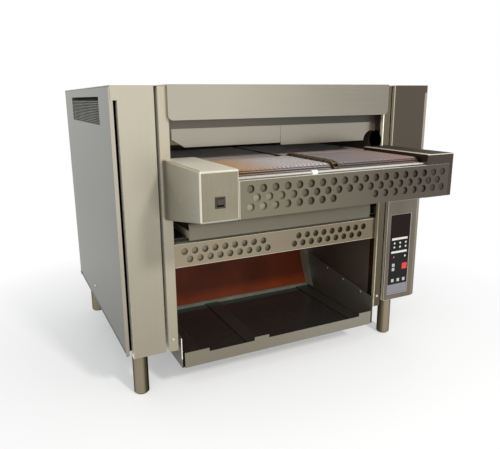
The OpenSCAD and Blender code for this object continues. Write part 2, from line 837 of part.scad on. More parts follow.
// A bolt through side plate, spacer and inner wall, drawn along +X from the plate's inner face
module shelf_bolt() {
    rod_x([0, head_h], 0, 0, head_r);
    rod_x([-sheet - shelf_side - sheet, 0], 0, 0, shank_r);
    rod_x([-sheet - shelf_side, -sheet], 0, 0, head_r);
    rod_x([-2 * sheet - shelf_side - head_h, -2 * sheet - shelf_side], 0, 0, head_r);
}
module screws() color(steel) from_front() {
    for (x = [wall_l - post_w / 2, wall_r + post_w / 2])
        translate([x, 0, post_foot + post_screw_up]) rotate([90, 0, 0]) screw();
    for (side = [-1, 1])
        translate([side * half_w, side_screw_y, underside + side_screw_up]) rotate([0, side * 90, 0]) screw();
    for (x = [-1, 1], z = back_screw_z)
        translate([x * back_screw_x, cabinet_d + sheet, z]) rotate([-90, 0, 0]) back_screw();
    for (y = bolt_places) {
        translate([shelf_x[0] + sheet, y, bolt_z(y)]) shelf_bolt();
        translate([shelf_x[1] - sheet, y, bolt_z(y)]) mirror([1, 0, 0]) shelf_bolt();
    }
}
// A back panel screw also passes the side panel's flange
module back_screw() {
    cylinder(h = head_h, r = head_r);
    translate([0, 0, -2 * sheet]) cylinder(h = 2 * sheet, r = shank_r);
}

// Chamber: front with slots for the gates' studs, ceiling with the flue, rear wall
function lane_studs(lane) = [for (s = [-1, 1]) (lane[0] + lane[1]) / 2 + s * stud_out];
module stud_slot(x) {
    low = gate_foot + stud_up;
    width = stud_r + gate_clear;
    upright([liner_y - past, liner_y + sheet + past]) {
        for (z = [low, low + gate_travel]) translate([x, z]) circle(width);
        translate([x - width, low]) square([2 * width, gate_travel]);
    }
}
module chamber_liner() color(dark) from_front() difference() {
    union() {
        block([wall_l, wall_r], [liner_y, liner_y + sheet], [liner_front_z, panel_top]);
        block([wall_l, wall_r], [liner_y, liner_rear_y + sheet], [ceiling_z, ceiling_z + sheet]);
        block([wall_l, wall_r], [liner_rear_y, liner_rear_y + sheet], [chute_bend_z + liner_lap, panel_top]);
    }
    for (i = [0, 1], x = lane_studs(gate_lane(i))) stud_slot(x);
    front_arch(liner_y);
    block([opening_x - flue_w / 2, opening_x + flue_w / 2], [flue_y, flue_y + flue_l],
        [ceiling_z - past, ceiling_z + sheet + past]);
}

// A burner tube between the inner walls, with a port slot along its top or its bottom
module burner_tube(y, z, up) difference() {
    r = burner_d / 2;
    rod_x([wall_l, wall_r], y, z, r);
    rod_x([wall_l + burner_wall, wall_r - burner_wall], y, z, r - burner_wall);
    block([wall_l + burner_d, wall_r - burner_d], [y - port_w / 2, y + port_w / 2],
        up ? [z, z + burner_d] : [z - burner_d, z]);
}
module upper_burners() color(dull_steel) from_front()
    for (y = burner_places) burner_tube(y, upper_burner_z, false);
module lower_burners() color(dull_steel) from_front()
    for (y = burner_places) burner_tube(y, lower_burner_z, true);

// Gas pipes in the left compartment: two headers joined by a riser, a branch to each burner
module gas_manifold() color("goldenrod") from_front() {
    r = header_d / 2;
    riser_y = burner_places[1];
    rod_y(header_x, [burner_y - r, valve_y], lower_burner_z, r);
    rod_y(header_x, [burner_y - r, burner_places[burner_count - 1] + r], upper_burner_z, r);
    rod_z(header_x, riser_y, [lower_burner_z, upper_burner_z], r);
    for (y = burner_places, z = [lower_burner_z, upper_burner_z])
        rod_x([header_x, wall_l - sheet], y, z, branch_d / 2);
}
module gas_valve() color("goldenrod") from_front() {
    block([header_x - valve_w / 2, header_x + valve_w / 2], [valve_y, valve_y + valve_l],
        [lower_burner_z - valve_w / 2, lower_burner_z + valve_w / 2]);
    rod_z(header_x, valve_y + valve_l / 2, [lower_burner_z + valve_w / 2, lower_burner_z + valve_w],
        valve_w / 3);
}
module gas_inlet() color("goldenrod") from_front() difference() {
    union() {
        pipe_y = valve_y + valve_l / 2;
        rod_z(header_x, pipe_y, [inlet_z - header_d / 2, lower_burner_z - valve_w / 2], header_d / 2);
        rod_y(header_x, [pipe_y, back_y - inlet_l], inlet_z, header_d / 2);
        rod_y(header_x, [back_y - inlet_l, back_y], inlet_z, inlet_d / 2);
    }
    rod_y(header_x, [back_y - inlet_bore_l, back_y + past], inlet_z, inlet_bore_d / 2);
}
module igniter() color("ivory") from_front() {
    rod_x([wall_l - sheet - bearing_l, wall_l + igniter_reach], burner_y, igniter_z, igniter_r);
    rod_x([wall_l - 2 * sheet, wall_l - sheet], burner_y, igniter_z, 2 * igniter_r);
}

// A gate: a plate in front of the chamber, with studs that run in the liner's slots
module gate(lane, rise) {
    foot = gate_foot + rise;
    collar_y = liner_y + sheet + gate_clear;
    difference() {
        block(lane, [gate_y, gate_y + sheet], [foot, gate_foot + gate_h]);
        children();
    }
    for (x = lane_studs(lane)) {
        rod_y(x, [gate_y, collar_y + collar_t], foot + stud_up, stud_r);
        rod_y(x, [collar_y, collar_y + collar_t], foot + stud_up, collar_r);
    }
}
function gate_lane(i) = i == 0
    ? [2 * opening_x - gate_right_end(), opening_x - gate_clear]
    : [opening_x + gate_clear, gate_right_end()];
function gate_right_end() = wall_r - gate_in;
module left_gate() color("tan") from_front() {
    lane = gate_lane(0);
    foot = gate_foot + gate_step;
    gate(lane, gate_step)
        upright([gate_y - past, gate_y + sheet + past]) polygon([
            [lane[0] - past, foot - past], [lane[0] + gate_cut_w, foot - past], [lane[0] + gate_cut_w, foot],
            [lane[0], foot + gate_cut_h], [lane[0] - past, foot + gate_cut_h]
        ]);
}
module right_gate() color("tan") from_front() {
    lane = gate_lane(1);
    gate(lane, 0) front_arch(gate_y);
}

// Broiling conveyor
module broil_belts() color(dull_steel) from_front()
    for (lane = broil_lanes) belt(lane, broil_axes, broil_z, broil_roller_r + run_gap, belt_t);
module roller_shaft(ends, rollers, y, z, bar_r, r) {
    rod_x(ends, y, z, bar_r);
    for (x = rollers) rod_x(x, y, z, r);
}
module broil_front_shaft() color(steel) from_front()
    roller_shaft([wall_l - sheet - bearing_l - past, wall_r + sheet + bearing_l + past], broil_lanes,
        broil_front_y, broil_z, broil_shaft_r, broil_roller_r);
module broil_rear_shaft() color(steel) from_front()
    roller_shaft(
        [wall_l - sheet - bearing_l - boss_gap - gearbox_d + past, wall_r + sheet + bearing_l + past],
        broil_lanes, broil_rear_y, broil_z, broil_shaft_r, broil_roller_r);

// A plain bearing along X, with its bore
module bearing(x, y, z, r) difference() {
    rod_x(x, y, z, r + bearing_wall);
    rod_x([x[0] - past, x[1] + past], y, z, r + shaft_fit);
}
module shaft_bearings() color("darkkhaki") from_front() {
    for (y = loader_axes, x = [box_l[1] - sheet - bearing_l, box_r[0] + sheet])
        bearing([x, x + bearing_l], y, loader_z, shaft_r);
    for (y = broil_axes, x = [wall_l - sheet - bearing_l, wall_r + sheet])
        bearing([x, x + bearing_l], y, broil_z, broil_shaft_r);
}

// A gearbox with a hollow bore, held on four bosses against the wall at face_x, and its motor to the rear
module gearmotor(face_x, y, z, wide, deep, bore_r, motor_r, motor_len) {
    right = face_x - bearing_l - boss_gap;
    corner = wide / 2 - boss_r;
    difference() {
        block([right - deep, right], [y - wide / 2, y + wide / 2], [z - wide / 2, z + wide / 2]);
        rod_x([right - deep - past, right + past], y, z, bore_r + shaft_fit);
    }
    for (a = [-corner, corner], b = [-corner, corner]) rod_x([right, face_x], y + a, z + b, boss_r);
    rod_y(right - deep / 2, [y + wide / 2, y + wide / 2 + motor_len], z, motor_r);
}
module drive_motor() color("steelblue") from_front()
    gearmotor(wall_l - sheet, broil_rear_y, broil_z, gearbox_w, gearbox_d, broil_shaft_r,
        motor_d / 2, motor_l);

// Loader
module loader_box(x, reach) {
    slope = (box_rear_h - box_front_h) / loader_reach;
    rear_z = box_top - box_rear_h;
    difference() {
        sideways(x) polygon([
            [-reach, rear_z + slope * reach], [-reach, box_top], [0, box_top], [0, rear_z]
        ]);
        sideways([x[0] + sheet, x[1] - sheet]) polygon([
            [-reach + sheet, rear_z + slope * (reach - sheet) + sheet], [-reach + sheet, box_top - sheet],
            [past, box_top - sheet], [past, rear_z - slope * past + sheet]
        ]);
        children();
    }
}
module loader_left_box() color("tan") from_front()
    loader_box(box_l, loader_reach) {
        for (y = loader_axes)
            rod_x([box_l[1] - sheet - past, box_l[1] + past], y, loader_z, shaft_r + wall_room);
        block([switch_x - switch_w / 2, switch_x + switch_w / 2],
            [-loader_reach - past, -loader_reach + sheet + past],
            [switch_z - switch_h / 2, switch_z + switch_h / 2]);
    }
module loader_right_box() color("tan") from_front()
    loader_box(box_r, loader_reach - sheet)
        for (y = loader_axes)
            rod_x([box_r[0] - past, box_r[0] + sheet + past], y, loader_z, shaft_r + wall_room);

module loader_bed() color(dull_steel) from_front() {
    top = loader_z + roller_r;
    block([box_l[1], box_r[0]], [loader_axes[0] + roller_r + run_gap, loader_axes[1] - roller_r - run_gap],
        [top - bed_t, top]);
}
module nose_rod() color("white") from_front()
    rod_x([box_l[1], box_r[0]], nose_y, belt_top - nose_drop - nose_d / 2, nose_d / 2);

// A perforated sheet: staggered rows of holes from first_x, with a bare place.
// Both guards are double: a plain sheet closes the folds behind the perforated one.
module hole_row(first_x, last_x, pitch, z, d, y, bare)
    for (x = [first_x : pitch : last_x])
        if (x < bare[0] || x > bare[1]) rod_y(x, [y[0] - past, y[1] + past], z, d / 2);
module loader_guard() color("tan") from_front() {
    x = [box_l[1], box_r[1] - guard_short];
    y = [-loader_reach, -loader_reach + sheet];
    z = [box_foot + guard_lift, box_foot + guard_lift + guard_h];
    bare = [opening_x + bare_x - bare_w / 2, opening_x + bare_x + bare_w / 2];
    difference() {
        block(x, y, z);
        for (row = [0 : 2])
            hole_row(x[0] + hole_first + row % 2 * hole_pitch / 2, x[1] - hole_last, hole_pitch,
                z[1] - row_first - row * row_pitch, hole_d, y, row == 2 ? bare : [x[1], x[1]]);
    }
    for (edge = [[z[0], z[0] + sheet], [z[1] - sheet, z[1]]])
        block([x[0], box_r[0]], [y[0], y[0] + guard_fold], edge);
    block([x[0], x[0] + sheet], [y[0], y[0] + guard_fold], z);
    block([x[0], box_r[0]], [y[0] + guard_fold - sheet, y[0] + guard_fold], z);
}
module loader_belts() color("rosybrown") from_front()
    for (lane = lanes) belt(lane, loader_axes, loader_z, roller_r + run_gap, belt_t);
module loader_chain() color("darkgoldenrod") from_front()
    belt([opening_x - chain_w / 2, opening_x + chain_w / 2], loader_axes, loader_z, roller_r + run_gap,
        chain_t);
module loader_shaft(left, y)
    roller_shaft([left, box_r[0] + sheet + bearing_l + past],
        concat(lanes, [[opening_x - chain_w / 2, opening_x + chain_w / 2]]), y, loader_z, shaft_r, roller_r);
module loader_front_shaft() color(steel) from_front()
    loader_shaft(box_l[1] - sheet - bearing_l - boss_gap - small_gearbox_d + past, loader_axes[0]);
module loader_rear_shaft() color(steel) from_front()
    loader_shaft(box_l[1] - sheet - bearing_l - past, loader_axes[1]);
module loader_motor() color("steelblue") from_front()
    gearmotor(box_l[1] - sheet, loader_axes[0], loader_z, small_gearbox_w, small_gearbox_d, shaft_r,
        small_motor_d / 2, small_motor_l);

// Rocker switch in the left box: a housing with a rim, and a rocker on a pin across it
switch_half_w = switch_w / 2 - shank_clear;
switch_half_h = switch_h / 2 - shank_clear;
module switch_housing() color(black) from_front()
translate([switch_x, -loader_reach, switch_z]) difference() {
    union() {
        block([-switch_half_w, switch_half_w], [0, switch_d], [-switch_half_h, switch_half_h]);
        block([-switch_half_w - switch_rim, switch_half_w + switch_rim], [-switch_rim_t, 0],
            [-switch_half_h - switch_rim, switch_half_h + switch_rim]);
    }
    block([-switch_half_w + switch_wall, switch_half_w - switch_wall],
        [-switch_rim_t - past, switch_d - switch_wall],
        [-switch_half_h + switch_wall, switch_half_h - switch_wall]);
    rod_x([-switch_half_w - past, switch_half_w + past], switch_pin_in, 0, switch_pin_r + shaft_fit);
}
// The rocker is drawn level about its pin, then tilted to the side where it rests
rocker_half_w = switch_half_w - switch_wall - key_clear;
rocker_half_h = switch_half_h - switch_wall - switch_gap;
rocker_front = (switch_proud + switch_pin_in - rocker_half_h * sin(switch_tilt)) / cos(switch_tilt);
module rocker_switch() color(black) from_front()
    translate([switch_x, -loader_reach + switch_pin_in, switch_z]) rotate([-switch_tilt, 0, 0]) {
        sideways([-rocker_half_w, rocker_half_w]) polygon([
            [-rocker_front, -rocker_half_h], [-rocker_front + rocker_half_h * tan(switch_tilt), 0],
            [-rocker_front, rocker_half_h], [0, rocker_half_h / 2], [switch_pin_r, 0], [0, -rocker_half_h / 2]
        ]);
        rod_x([-switch_half_w, switch_half_w], 0, 0, switch_pin_r);
    }

// Crumb tray on its runners
crumb_z = belt_top - crumb_drop;
runner_top = crumb_z + crumb_floor - crumb_clear;
module crumb_tray() color("tan") from_front() {
    x = [wall_l + crumb_side, wall_r - crumb_side];
    y = [-crumb_out, -crumb_out + crumb_l];
    floor_z = crumb_z + crumb_floor;
    wall_z = [floor_z, floor_z + crumb_wall_h];
    block(x, [y[0], y[0] + sheet], [crumb_z, crumb_z + crumb_h]);
    block(x, [y[0], y[0] + 3 * sheet], [crumb_z + crumb_h - sheet, crumb_z + crumb_h]);
    block(x, y, [floor_z, floor_z + sheet]);
    block(x, [y[1] - sheet, y[1]], wall_z);
    for (edge = [[x[0], x[0] + sheet], [x[1] - sheet, x[1]]]) block(edge, y, wall_z);
}
module runner(wall, inward) {
    back = [min(wall, wall + inward * runner_t), max(wall, wall + inward * runner_t)];
    shelf = [min(wall, wall + inward * runner_w), max(wall, wall + inward * runner_w)];
    y = [runner_y, -crumb_out + crumb_l];
    block(back, y, [runner_top - runner_t, runner_top - runner_t + runner_h]);
    block(shelf, y, [runner_top - runner_t, runner_top]);
}
module tray_runners() color(black) from_front() {
    runner(wall_l, 1);
    runner(wall_r, -1);
}

low_guard_z = crumb_z - low_guard_drop;
module lower_guard() color("tan") from_front() {
    x = [wall_l, wall_r];
    y = [low_guard_y, low_guard_y + sheet];
    z = [low_guard_z, low_guard_z + low_guard_h];
    bare = [opening_x + low_bare_x - low_bare_w / 2, opening_x + low_bare_x + low_bare_w / 2];
    difference() {
        block(x, y, z);
        for (row = [0 : 1])
            hole_row(x[0] + low_first + row * low_pitch / 2, x[1] - low_last, low_pitch,
                z[1] - low_row_first - row * low_row_pitch, low_hole_d, y, bare);
    }
    block(x, [y[0], y[0] + low_fold], [z[0], z[0] + sheet]);
    block(x, [y[0], y[0] + low_ledge], [z[1] - sheet, z[1]]);
    for (edge = [[x[0], x[0] + sheet], [x[1] - sheet, x[1]]]) block(edge, [y[0], y[0] + low_fold], z);
    block(x, [y[0] + low_fold - sheet, y[0] + low_fold], z);
}

// Discharge chute: straight above the bend, then a large arc that carries the product forward.
// band() is the space between two depths in front of the chute's rear face, from the foot to the top.
chute_x = [wall_l + chute_side, wall_r - chute_side];
chute_centre_y = chute_y - chute_r;
chute_bend_z = low_guard_z - chute_bend_drop;
chute_foot_z = shelf_z + chute_lift;
chute_top_z = belt_top - chute_top_drop;
module band(x, near, far, foot, top) {
    sideways(x) translate([chute_y - far, chute_bend_z]) square([far - near, top - chute_bend_z]);
    intersection() {
        sideways(x) translate([chute_centre_y, chute_bend_z]) difference() {
            circle(chute_r - near, $fn = 180);
            circle(chute_r - far, $fn = 180);
        }
        block(x, [chute_centre_y, chute_y + sheet], [foot, chute_bend_z]);
    }
}
module discharge_chute() color(steel) from_front() {
    band(chute_x, -sheet, 0, chute_foot_z, chute_top_z);
    for (side = [0, 1]) {
        cheek = side == 0 ? [chute_x[0] - sheet, chute_x[0]] : [chute_x[1], chute_x[1] + sheet];
        pin = side == 0 ? [wall_l, cheek[0]] : [cheek[1], wall_r];
        band(cheek, -sheet, cheek_w, chute_foot_z, chute_top_z);
        for (z = [chute_bend_z, chute_top_z - hanger_in]) rod_x(pin, chute_y - hanger_in, z, hanger_r);
    }
}
module release_sheet() color("saddlebrown") from_front()
    band([chute_x[0] + release_gap, chute_x[1] - release_gap], release_gap, release_gap + release_t,
        chute_foot_z, chute_top_z);

// Pan shelf: floor, tabbed lip, guide strips, and side plates with a slanted upper edge
function plate_top(y) = underside + plate_up + plate_rise * y;
function bolt_z(y) = plate_top(y) - bolt_down;
module pan_shelf() color(dull_steel) from_front() {
    y = [-shelf_out, -shelf_out + shelf_l];
    floor_top = shelf_z + sheet;
    lip_x = [wall_l + lip_inset, wall_r - lip_inset];
    mid_x = opening_x + mid_lip_tab_x;
    tabs = [
        [lip_x[0], lip_x[0] + left_lip_tab_w], [mid_x - mid_lip_tab_w / 2, mid_x + mid_lip_tab_w / 2],
        [lip_x[1] - right_lip_tab_w, lip_x[1]]
    ];
    block(shelf_x, y, [shelf_z, floor_top]);
    block(lip_x, [y[0], y[0] + sheet], [shelf_z - lip_drop, shelf_z - lip_drop + lip_h]);
    block(shelf_x, [y[1] - sheet, y[1]], [shelf_z, floor_top + upstand_h]);
    for (tab = tabs) {
        block(tab, [y[0], y[0] + sheet], [shelf_z - lip_drop, shelf_z - lip_drop + lip_h + tab_rise]);
        block(tab, y, [floor_top, floor_top + strip_h]);
    }
    for (edge = [[shelf_x[0], shelf_x[0] + sheet], [shelf_x[1] - sheet, shelf_x[1]]]) difference() {
        sideways(edge) polygon([
            [y[0] + sheet, shelf_z], [y[0] + sheet, plate_top(0)], [0, plate_top(0)],
            [y[1], plate_top(y[1])], [y[1], shelf_z]
        ]);
        for (b = bolt_places)
            rod_x([edge[0] - past, edge[1] + past], b, bolt_z(b), shank_r + shank_clear);
    }
}

// Control panel on the right cover
module control_bezel() color("dimgray") from_front() difference() {
    block([bezel_x, bezel_x + bezel_w], [-sheet - bezel_t, -sheet], [bezel_z, bezel_z + bezel_h]);
    block([pad_x - pad_w / 2, pad_x + pad_w / 2], [-sheet - bezel_t - past, -sheet + past], [pad_z, pad_top]);
}
// Places of the keys on the plate: across and up
up_place = [-key_pitch, stop_z + step_pitch / 2];
down_place = [-key_pitch, stop_z - step_pitch / 2];
stop_place = [key_pitch, stop_z];
low_places = [for (i = [-1 : 1]) [i * key_pitch, low_key_z]];
small_places = concat([up_place, down_place], low_places);
module key_hole(place, side) {
    half = side / 2 + key_clear;
    translate([key_x + place[0], 0, place[1]])
        block([-half, half], [pad_face - past, -sheet + past], [-half, half]);
}
module keypad_plate() color(black) from_front() difference() {
    block([pad_x - pad_w / 2, pad_x + pad_w / 2], [pad_face, -sheet], [pad_z, pad_top]);
    for (place = small_places) key_hole(place, key_w);
    key_hole(stop_place, stop_w);
}
module display_window() color("darkred") from_front()
    block([pad_x - display_w / 2, pad_x + display_w / 2], [pad_face - display_t, pad_face],
        [pad_top - display_drop - display_h, pad_top - display_drop]);
module indicator_lamps() color("white") from_front() {
    for (i = [-1 : 1], row = [0, 1])
        rod_y(key_x + i * key_pitch, [pad_face - display_t, pad_face], lamp_z + row * lamp_pitch, lamp_r);
    for (i = [-1, 1]) rod_y(key_x + i * key_pitch, [pad_face - display_t, pad_face], warn_z, lamp_r);
}
// A key stands proud of the plate by its travel, and its flange keeps it behind the plate
module key(place, side) from_front() translate([key_x + place[0], 0, place[1]]) {
    half = side / 2;
    wide = half + key_clear + key_flange;
    block([-half, half], [pad_face - key_travel, -sheet + key_clear], [-half, half]);
    block([-wide, wide], [-sheet + key_clear, -sheet + key_clear + key_flange_t], [-wide, wide]);
}
module up_key() color("white") key(up_place, key_w);
module down_key() color("white") key(down_place, key_w);
module stop_key() color("red") key(stop_place, stop_w);
module left_lane_key() color("white") key(low_places[0], key_w);
module both_lanes_key() color("white") key(low_places[1], key_w);
module right_lane_key() color("white") key(low_places[2], key_w);

module control_board() color("darkgreen") from_front() {
    x = [key_x - cutout_w / 2 - board_margin, key_x + cutout_w / 2 + board_margin];
    z = [pad_z + strip_band_h - board_margin, pad_top];
    block(x, [board_gap, board_gap + board_t], z);
    for (a = [x[0] + spacer_r, x[1] - spacer_r], b = [z[0] + spacer_r, z[1] - spacer_r])
        rod_y(a, [0, board_gap], b, spacer_r);
}

module cable_gland() color(black) from_front() difference() {
    union() {
        rod_y(-header_x, [back_y - sheet, back_y], inlet_z, gland_r);
        rod_y(-header_x, [back_y - 3 * sheet, back_y - sheet], inlet_z, gland_r + 2 * sheet);
    }
    rod_y(-header_x, [back_y - 3 * sheet - past, back_y + past], inlet_z, gland_bore_d / 2);
}

base_frame();
legs();
left_side_panel();
right_side_panel();
roof_panel();
back_panel();
left_post();
right_post();
left_inner_wall();
right_inner_wall();
left_front_cover();
right_front_cover();
front_hood();
vent_louvres();
screws();
chamber_liner();
upper_burners();
lower_burners();
gas_manifold();
gas_valve();
gas_inlet();
igniter();
left_gate();
right_gate();
broil_belts();
broil_front_shaft();
broil_rear_shaft();
shaft_bearings();
drive_motor();
loader_left_box();
loader_right_box();
loader_bed();
nose_rod();
loader_guard();
loader_belts();
loader_chain();
loader_front_shaft();
loader_rear_shaft();
loader_motor();
switch_housing();
rocker_switch();
crumb_tray();
tray_runners();
lower_guard();
discharge_chute();
release_sheet();
pan_shelf();
control_bezel();
keypad_plate();
display_window();
indicator_lamps();
control_board();
cable_gland();
up_key();
down_key();
stop_key();
left_lane_key();
both_lanes_key();
right_lane_key();
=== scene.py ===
from math import cos, pi, radians, sin
import bmesh
import bpy
from mathutils import Matrix, Vector


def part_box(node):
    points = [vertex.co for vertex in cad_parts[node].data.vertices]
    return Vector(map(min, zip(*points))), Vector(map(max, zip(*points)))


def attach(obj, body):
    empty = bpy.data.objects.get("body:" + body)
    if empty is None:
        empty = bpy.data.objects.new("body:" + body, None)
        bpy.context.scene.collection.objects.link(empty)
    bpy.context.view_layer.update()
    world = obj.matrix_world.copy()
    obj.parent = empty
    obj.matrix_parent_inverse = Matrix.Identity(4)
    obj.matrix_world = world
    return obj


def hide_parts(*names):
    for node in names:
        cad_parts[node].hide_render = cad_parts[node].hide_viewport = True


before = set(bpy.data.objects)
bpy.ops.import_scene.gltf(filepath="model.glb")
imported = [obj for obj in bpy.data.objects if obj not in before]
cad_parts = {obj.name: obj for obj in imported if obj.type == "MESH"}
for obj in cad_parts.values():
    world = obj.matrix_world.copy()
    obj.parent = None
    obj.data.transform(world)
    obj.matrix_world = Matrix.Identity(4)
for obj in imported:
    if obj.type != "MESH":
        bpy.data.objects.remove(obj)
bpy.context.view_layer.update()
scene = bpy.context.scene
scene.view_settings.view_transform = "Standard"

# The viewpoint stands to the front left of the broiler, a little below its roof.
# Its place, turn and lens come from the edges of the cabinet in the photograph.
camera_place = Vector((-0.7116, -1.4309, 0.7785))
camera_azimuth = radians(-25.46)
camera_dip = radians(13.94)
camera_roll = -0.0103
ahead = Vector((-sin(camera_azimuth) * cos(camera_dip),
                cos(camera_azimuth) * cos(camera_dip),
                -sin(camera_dip)))
level_right = ahead.cross(Vector((0, 0, 1))).normalized()
level_up = level_right.cross(ahead)
tilted_right = cos(camera_roll) * level_right + sin(camera_roll) * level_up
tilted_up = cos(camera_roll) * level_up - sin(camera_roll) * level_right
camera_turn = Matrix((tilted_right, tilted_up, -ahead)).transposed()
bpy.ops.object.select_all(action="DESELECT")
bpy.ops.object.camera_add(location=camera_place, rotation=camera_turn.to_euler())
camera = bpy.context.object
camera.data.sensor_width = 36
camera.data.lens = 37.02
camera.data.shift_x = 0.018
camera.data.shift_y = 0.0022
scene.camera = camera


# The studio is a plain white room: a pale floor, even light from all round and four soft lamps.
# Camera, mirror and glass rays see the room as white, and the floor keeps the shadow of the legs.
def add_node(tree, kind, values=(), feeds=(), **options):
    """A new node of a material or world: its own options, its plain input values and its linked inputs."""
    node = tree.nodes.new("ShaderNode" + kind)
    for name, option in options.items():
        setattr(node, name, option)
    for name, value in dict(values).items():
        node.inputs[name].default_value = value
    for name, source in dict(feeds).items():
        tree.links.new(source, node.inputs[name])
    return node


room = bpy.data.worlds.new("white_room")
room.use_nodes = True
room_tree = room.node_tree
room_light = room_tree.nodes["Background"]
room_light.inputs["Color"].default_value = (0.96, 0.98, 1.0, 1)
room_light.inputs["Strength"].default_value = 0.46
room_white = add_node(room_tree, "Background", {"Color": (1, 1, 1, 1), "Strength": 1.0})
room_rays = add_node(room_tree, "LightPath")
seen_or_mirrored = add_node(room_tree, "Math", operation="ADD", use_clamp=True, feeds={
    0: room_rays.outputs["Is Camera Ray"], 1: room_rays.outputs["Is Glossy Ray"]})
seen_through_glass = add_node(room_tree, "Math", operation="ADD", use_clamp=True, feeds={
    0: seen_or_mirrored.outputs[0], 1: room_rays.outputs["Is Transmission Ray"]})
room_choice = add_node(room_tree, "MixShader", feeds={
    "Fac": seen_through_glass.outputs[0], 1: room_light.outputs[0], 2: room_white.outputs[0]})
room_tree.links.new(room_choice.outputs[0], room_tree.nodes["World Output"].inputs["Surface"])
scene.world = room

bpy.ops.mesh.primitive_plane_add(size=16, location=(0, 0, 0))
floor = bpy.context.object
floor.name = "studio_floor"
floor_finish = bpy.data.materials.new("studio_floor_white")
floor_finish.use_nodes = True
floor_tree = floor_finish.node_tree
floor_matt = floor_tree.nodes["Principled BSDF"]
floor_matt.inputs["Base Color"].default_value = (0.97, 0.97, 0.97, 1)
floor_matt.inputs["Roughness"].default_value = 0.95
floor_matt.inputs["Specular IOR Level"].default_value = 0.1
floor_white = add_node(floor_tree, "Emission", {"Strength": 1.0})
floor_place = add_node(floor_tree, "TexCoord")
floor_reach = add_node(floor_tree, "VectorMath", feeds={0: floor_place.outputs["Object"]}, operation="LENGTH")
floor_fade = add_node(floor_tree, "MapRange", {"From Min": 0.5, "From Max": 1.25, "To Min": 0.35},
                      {"Value": floor_reach.outputs["Value"]})
floor_mix = add_node(floor_tree, "MixShader", feeds={
    "Fac": floor_fade.outputs["Result"], 1: floor_matt.outputs[0], 2: floor_white.outputs[0]})
floor_tree.links.new(floor_mix.outputs[0], floor_tree.nodes["Material Output"].inputs["Surface"])
floor.data.materials.append(floor_finish)

lamp_aim = Vector((0, 0, 0.4))
mirrored_lamps = ("window_lamp", "room_lamp")
for lamp_name, lamp_place, lamp_side, lamp_power, lamp_tint in (
        ("window_lamp", (-1.6, -2.6, 2.7), 2.0, 36, (0.97, 0.99, 1.0)),
        ("key_lamp", (0.36, -3.2, 2.3), 0.36, 78, (1.0, 0.98, 0.94)),
        ("room_lamp", (2.1, -2.8, 2.3), 1.6, 10, (1.0, 0.96, 0.9)),
        ("low_lamp", (0.2, -3.0, 0.9), 1.6, 14, (1.0, 0.99, 0.96))):
    bpy.ops.object.light_add(type="AREA", location=lamp_place)
    lamp = bpy.context.object
    lamp.name = lamp_name
    lamp.data.size = lamp_side
    lamp.data.energy = lamp_power
    lamp.data.color = lamp_tint
    lamp.visible_glossy = lamp_name in mirrored_lamps
    lamp.rotation_euler = (lamp_aim - Vector(lamp_place)).to_track_quat("-Z", "Y").to_euler()


# The base frame is two plates and a rear cross plate of black enamelled sheet, with a lip along each side.
# They are welded into one frame, and the legs, walls and panels are fixed to it.
def display_tone(red, green, blue):
    """The linear colour of a tone that is read off a screen, 0 to 255."""
    tone = []
    for level in (red, green, blue):
        share = level / 255
        tone.append(share / 12.92 if share <= 0.04045 else ((share + 0.055) / 1.055) ** 2.4)
    return (*tone, 1)


def blank_finish(name, metallic, shine):
    """A new material with its node tree and shader, before its maker adds tone and relief."""
    finish = bpy.data.materials.new(name)
    finish.use_nodes = True
    shader = finish.node_tree.nodes["Principled BSDF"]
    shader.inputs["Metallic"].default_value = metallic
    if shine is not None:
        shader.inputs["Specular IOR Level"].default_value = shine
    return finish, finish.node_tree, shader


def link_surface(tree, shader, tones, dulling, relief):
    """The last links of a material: its tone, its roughness and its relief."""
    tree.links.new(tones.outputs["Result"], shader.inputs["Base Color"])
    tree.links.new(dulling.outputs["Result"], shader.inputs["Roughness"])
    tree.links.new(relief.outputs["Normal"], shader.inputs["Normal"])


def satin_paint(name, colour, worn, roughness, metallic=0.0, grit=420, shine=None):
    """A coat of paint or a moulded skin: fine orange peel, and duller patches where hands and dust reach."""
    finish, tree, skin = blank_finish(name, metallic, shine)
    place = add_node(tree, "TexCoord").outputs["Object"]
    peel = add_node(tree, "TexNoise", {"Scale": grit, "Detail": 3}, {"Vector": place}).outputs["Fac"]
    patch = add_node(tree, "TexNoise", {"Scale": 9, "Detail": 5}, {"Vector": place}).outputs["Fac"]
    worn_share = add_node(tree, "MapRange", {"From Min": 0.38, "From Max": 0.72}, {"Value": patch})
    tones = add_node(tree, "Mix", {"A": display_tone(*colour), "B": display_tone(*worn)},
                     {"Factor": worn_share.outputs["Result"]}, data_type="RGBA")
    dulling = add_node(tree, "MapRange", {
        "To Min": max(roughness - 0.07, 0.03), "To Max": min(roughness + 0.12, 1)}, {"Value": patch})
    relief = add_node(tree, "Bump", {"Strength": 0.35, "Distance": 0.00012}, {"Height": peel})
    link_surface(tree, skin, tones, dulling, relief)
    return finish


def room_beside(edge, face):
    """The least width of a face beside one of its edges, over the length of that edge."""
    end_slack = 0.0002
    side_slack = 0.0001
    least_span = 0.000001
    own = next(corner for corner in face.loops if corner.edge == edge)
    start = own.vert.co
    span = own.link_loop_next.vert.co - start
    along = span.normalized()
    inward = face.normal.cross(along)
    least = 1.0
    for corner in face.loops:
        if edge in (corner.edge, corner.link_loop_next.edge, corner.link_loop_prev.edge):
            continue
        ends = [end.co - start for end in corner.edge.verts]
        (near_x, near_y), (far_x, far_y) = sorted((end.dot(along), end.dot(inward)) for end in ends)
        if far_x < end_slack or near_x > span.length - end_slack or max(near_y, far_y) < side_slack:
            continue
        for place in (near_x, far_x):
            held = min(max(place, 0), span.length)
            share = (held - near_x) / max(far_x - near_x, least_span)
            least = min(least, near_y + (far_y - near_y) * min(max(share, 0), 1))
    return least


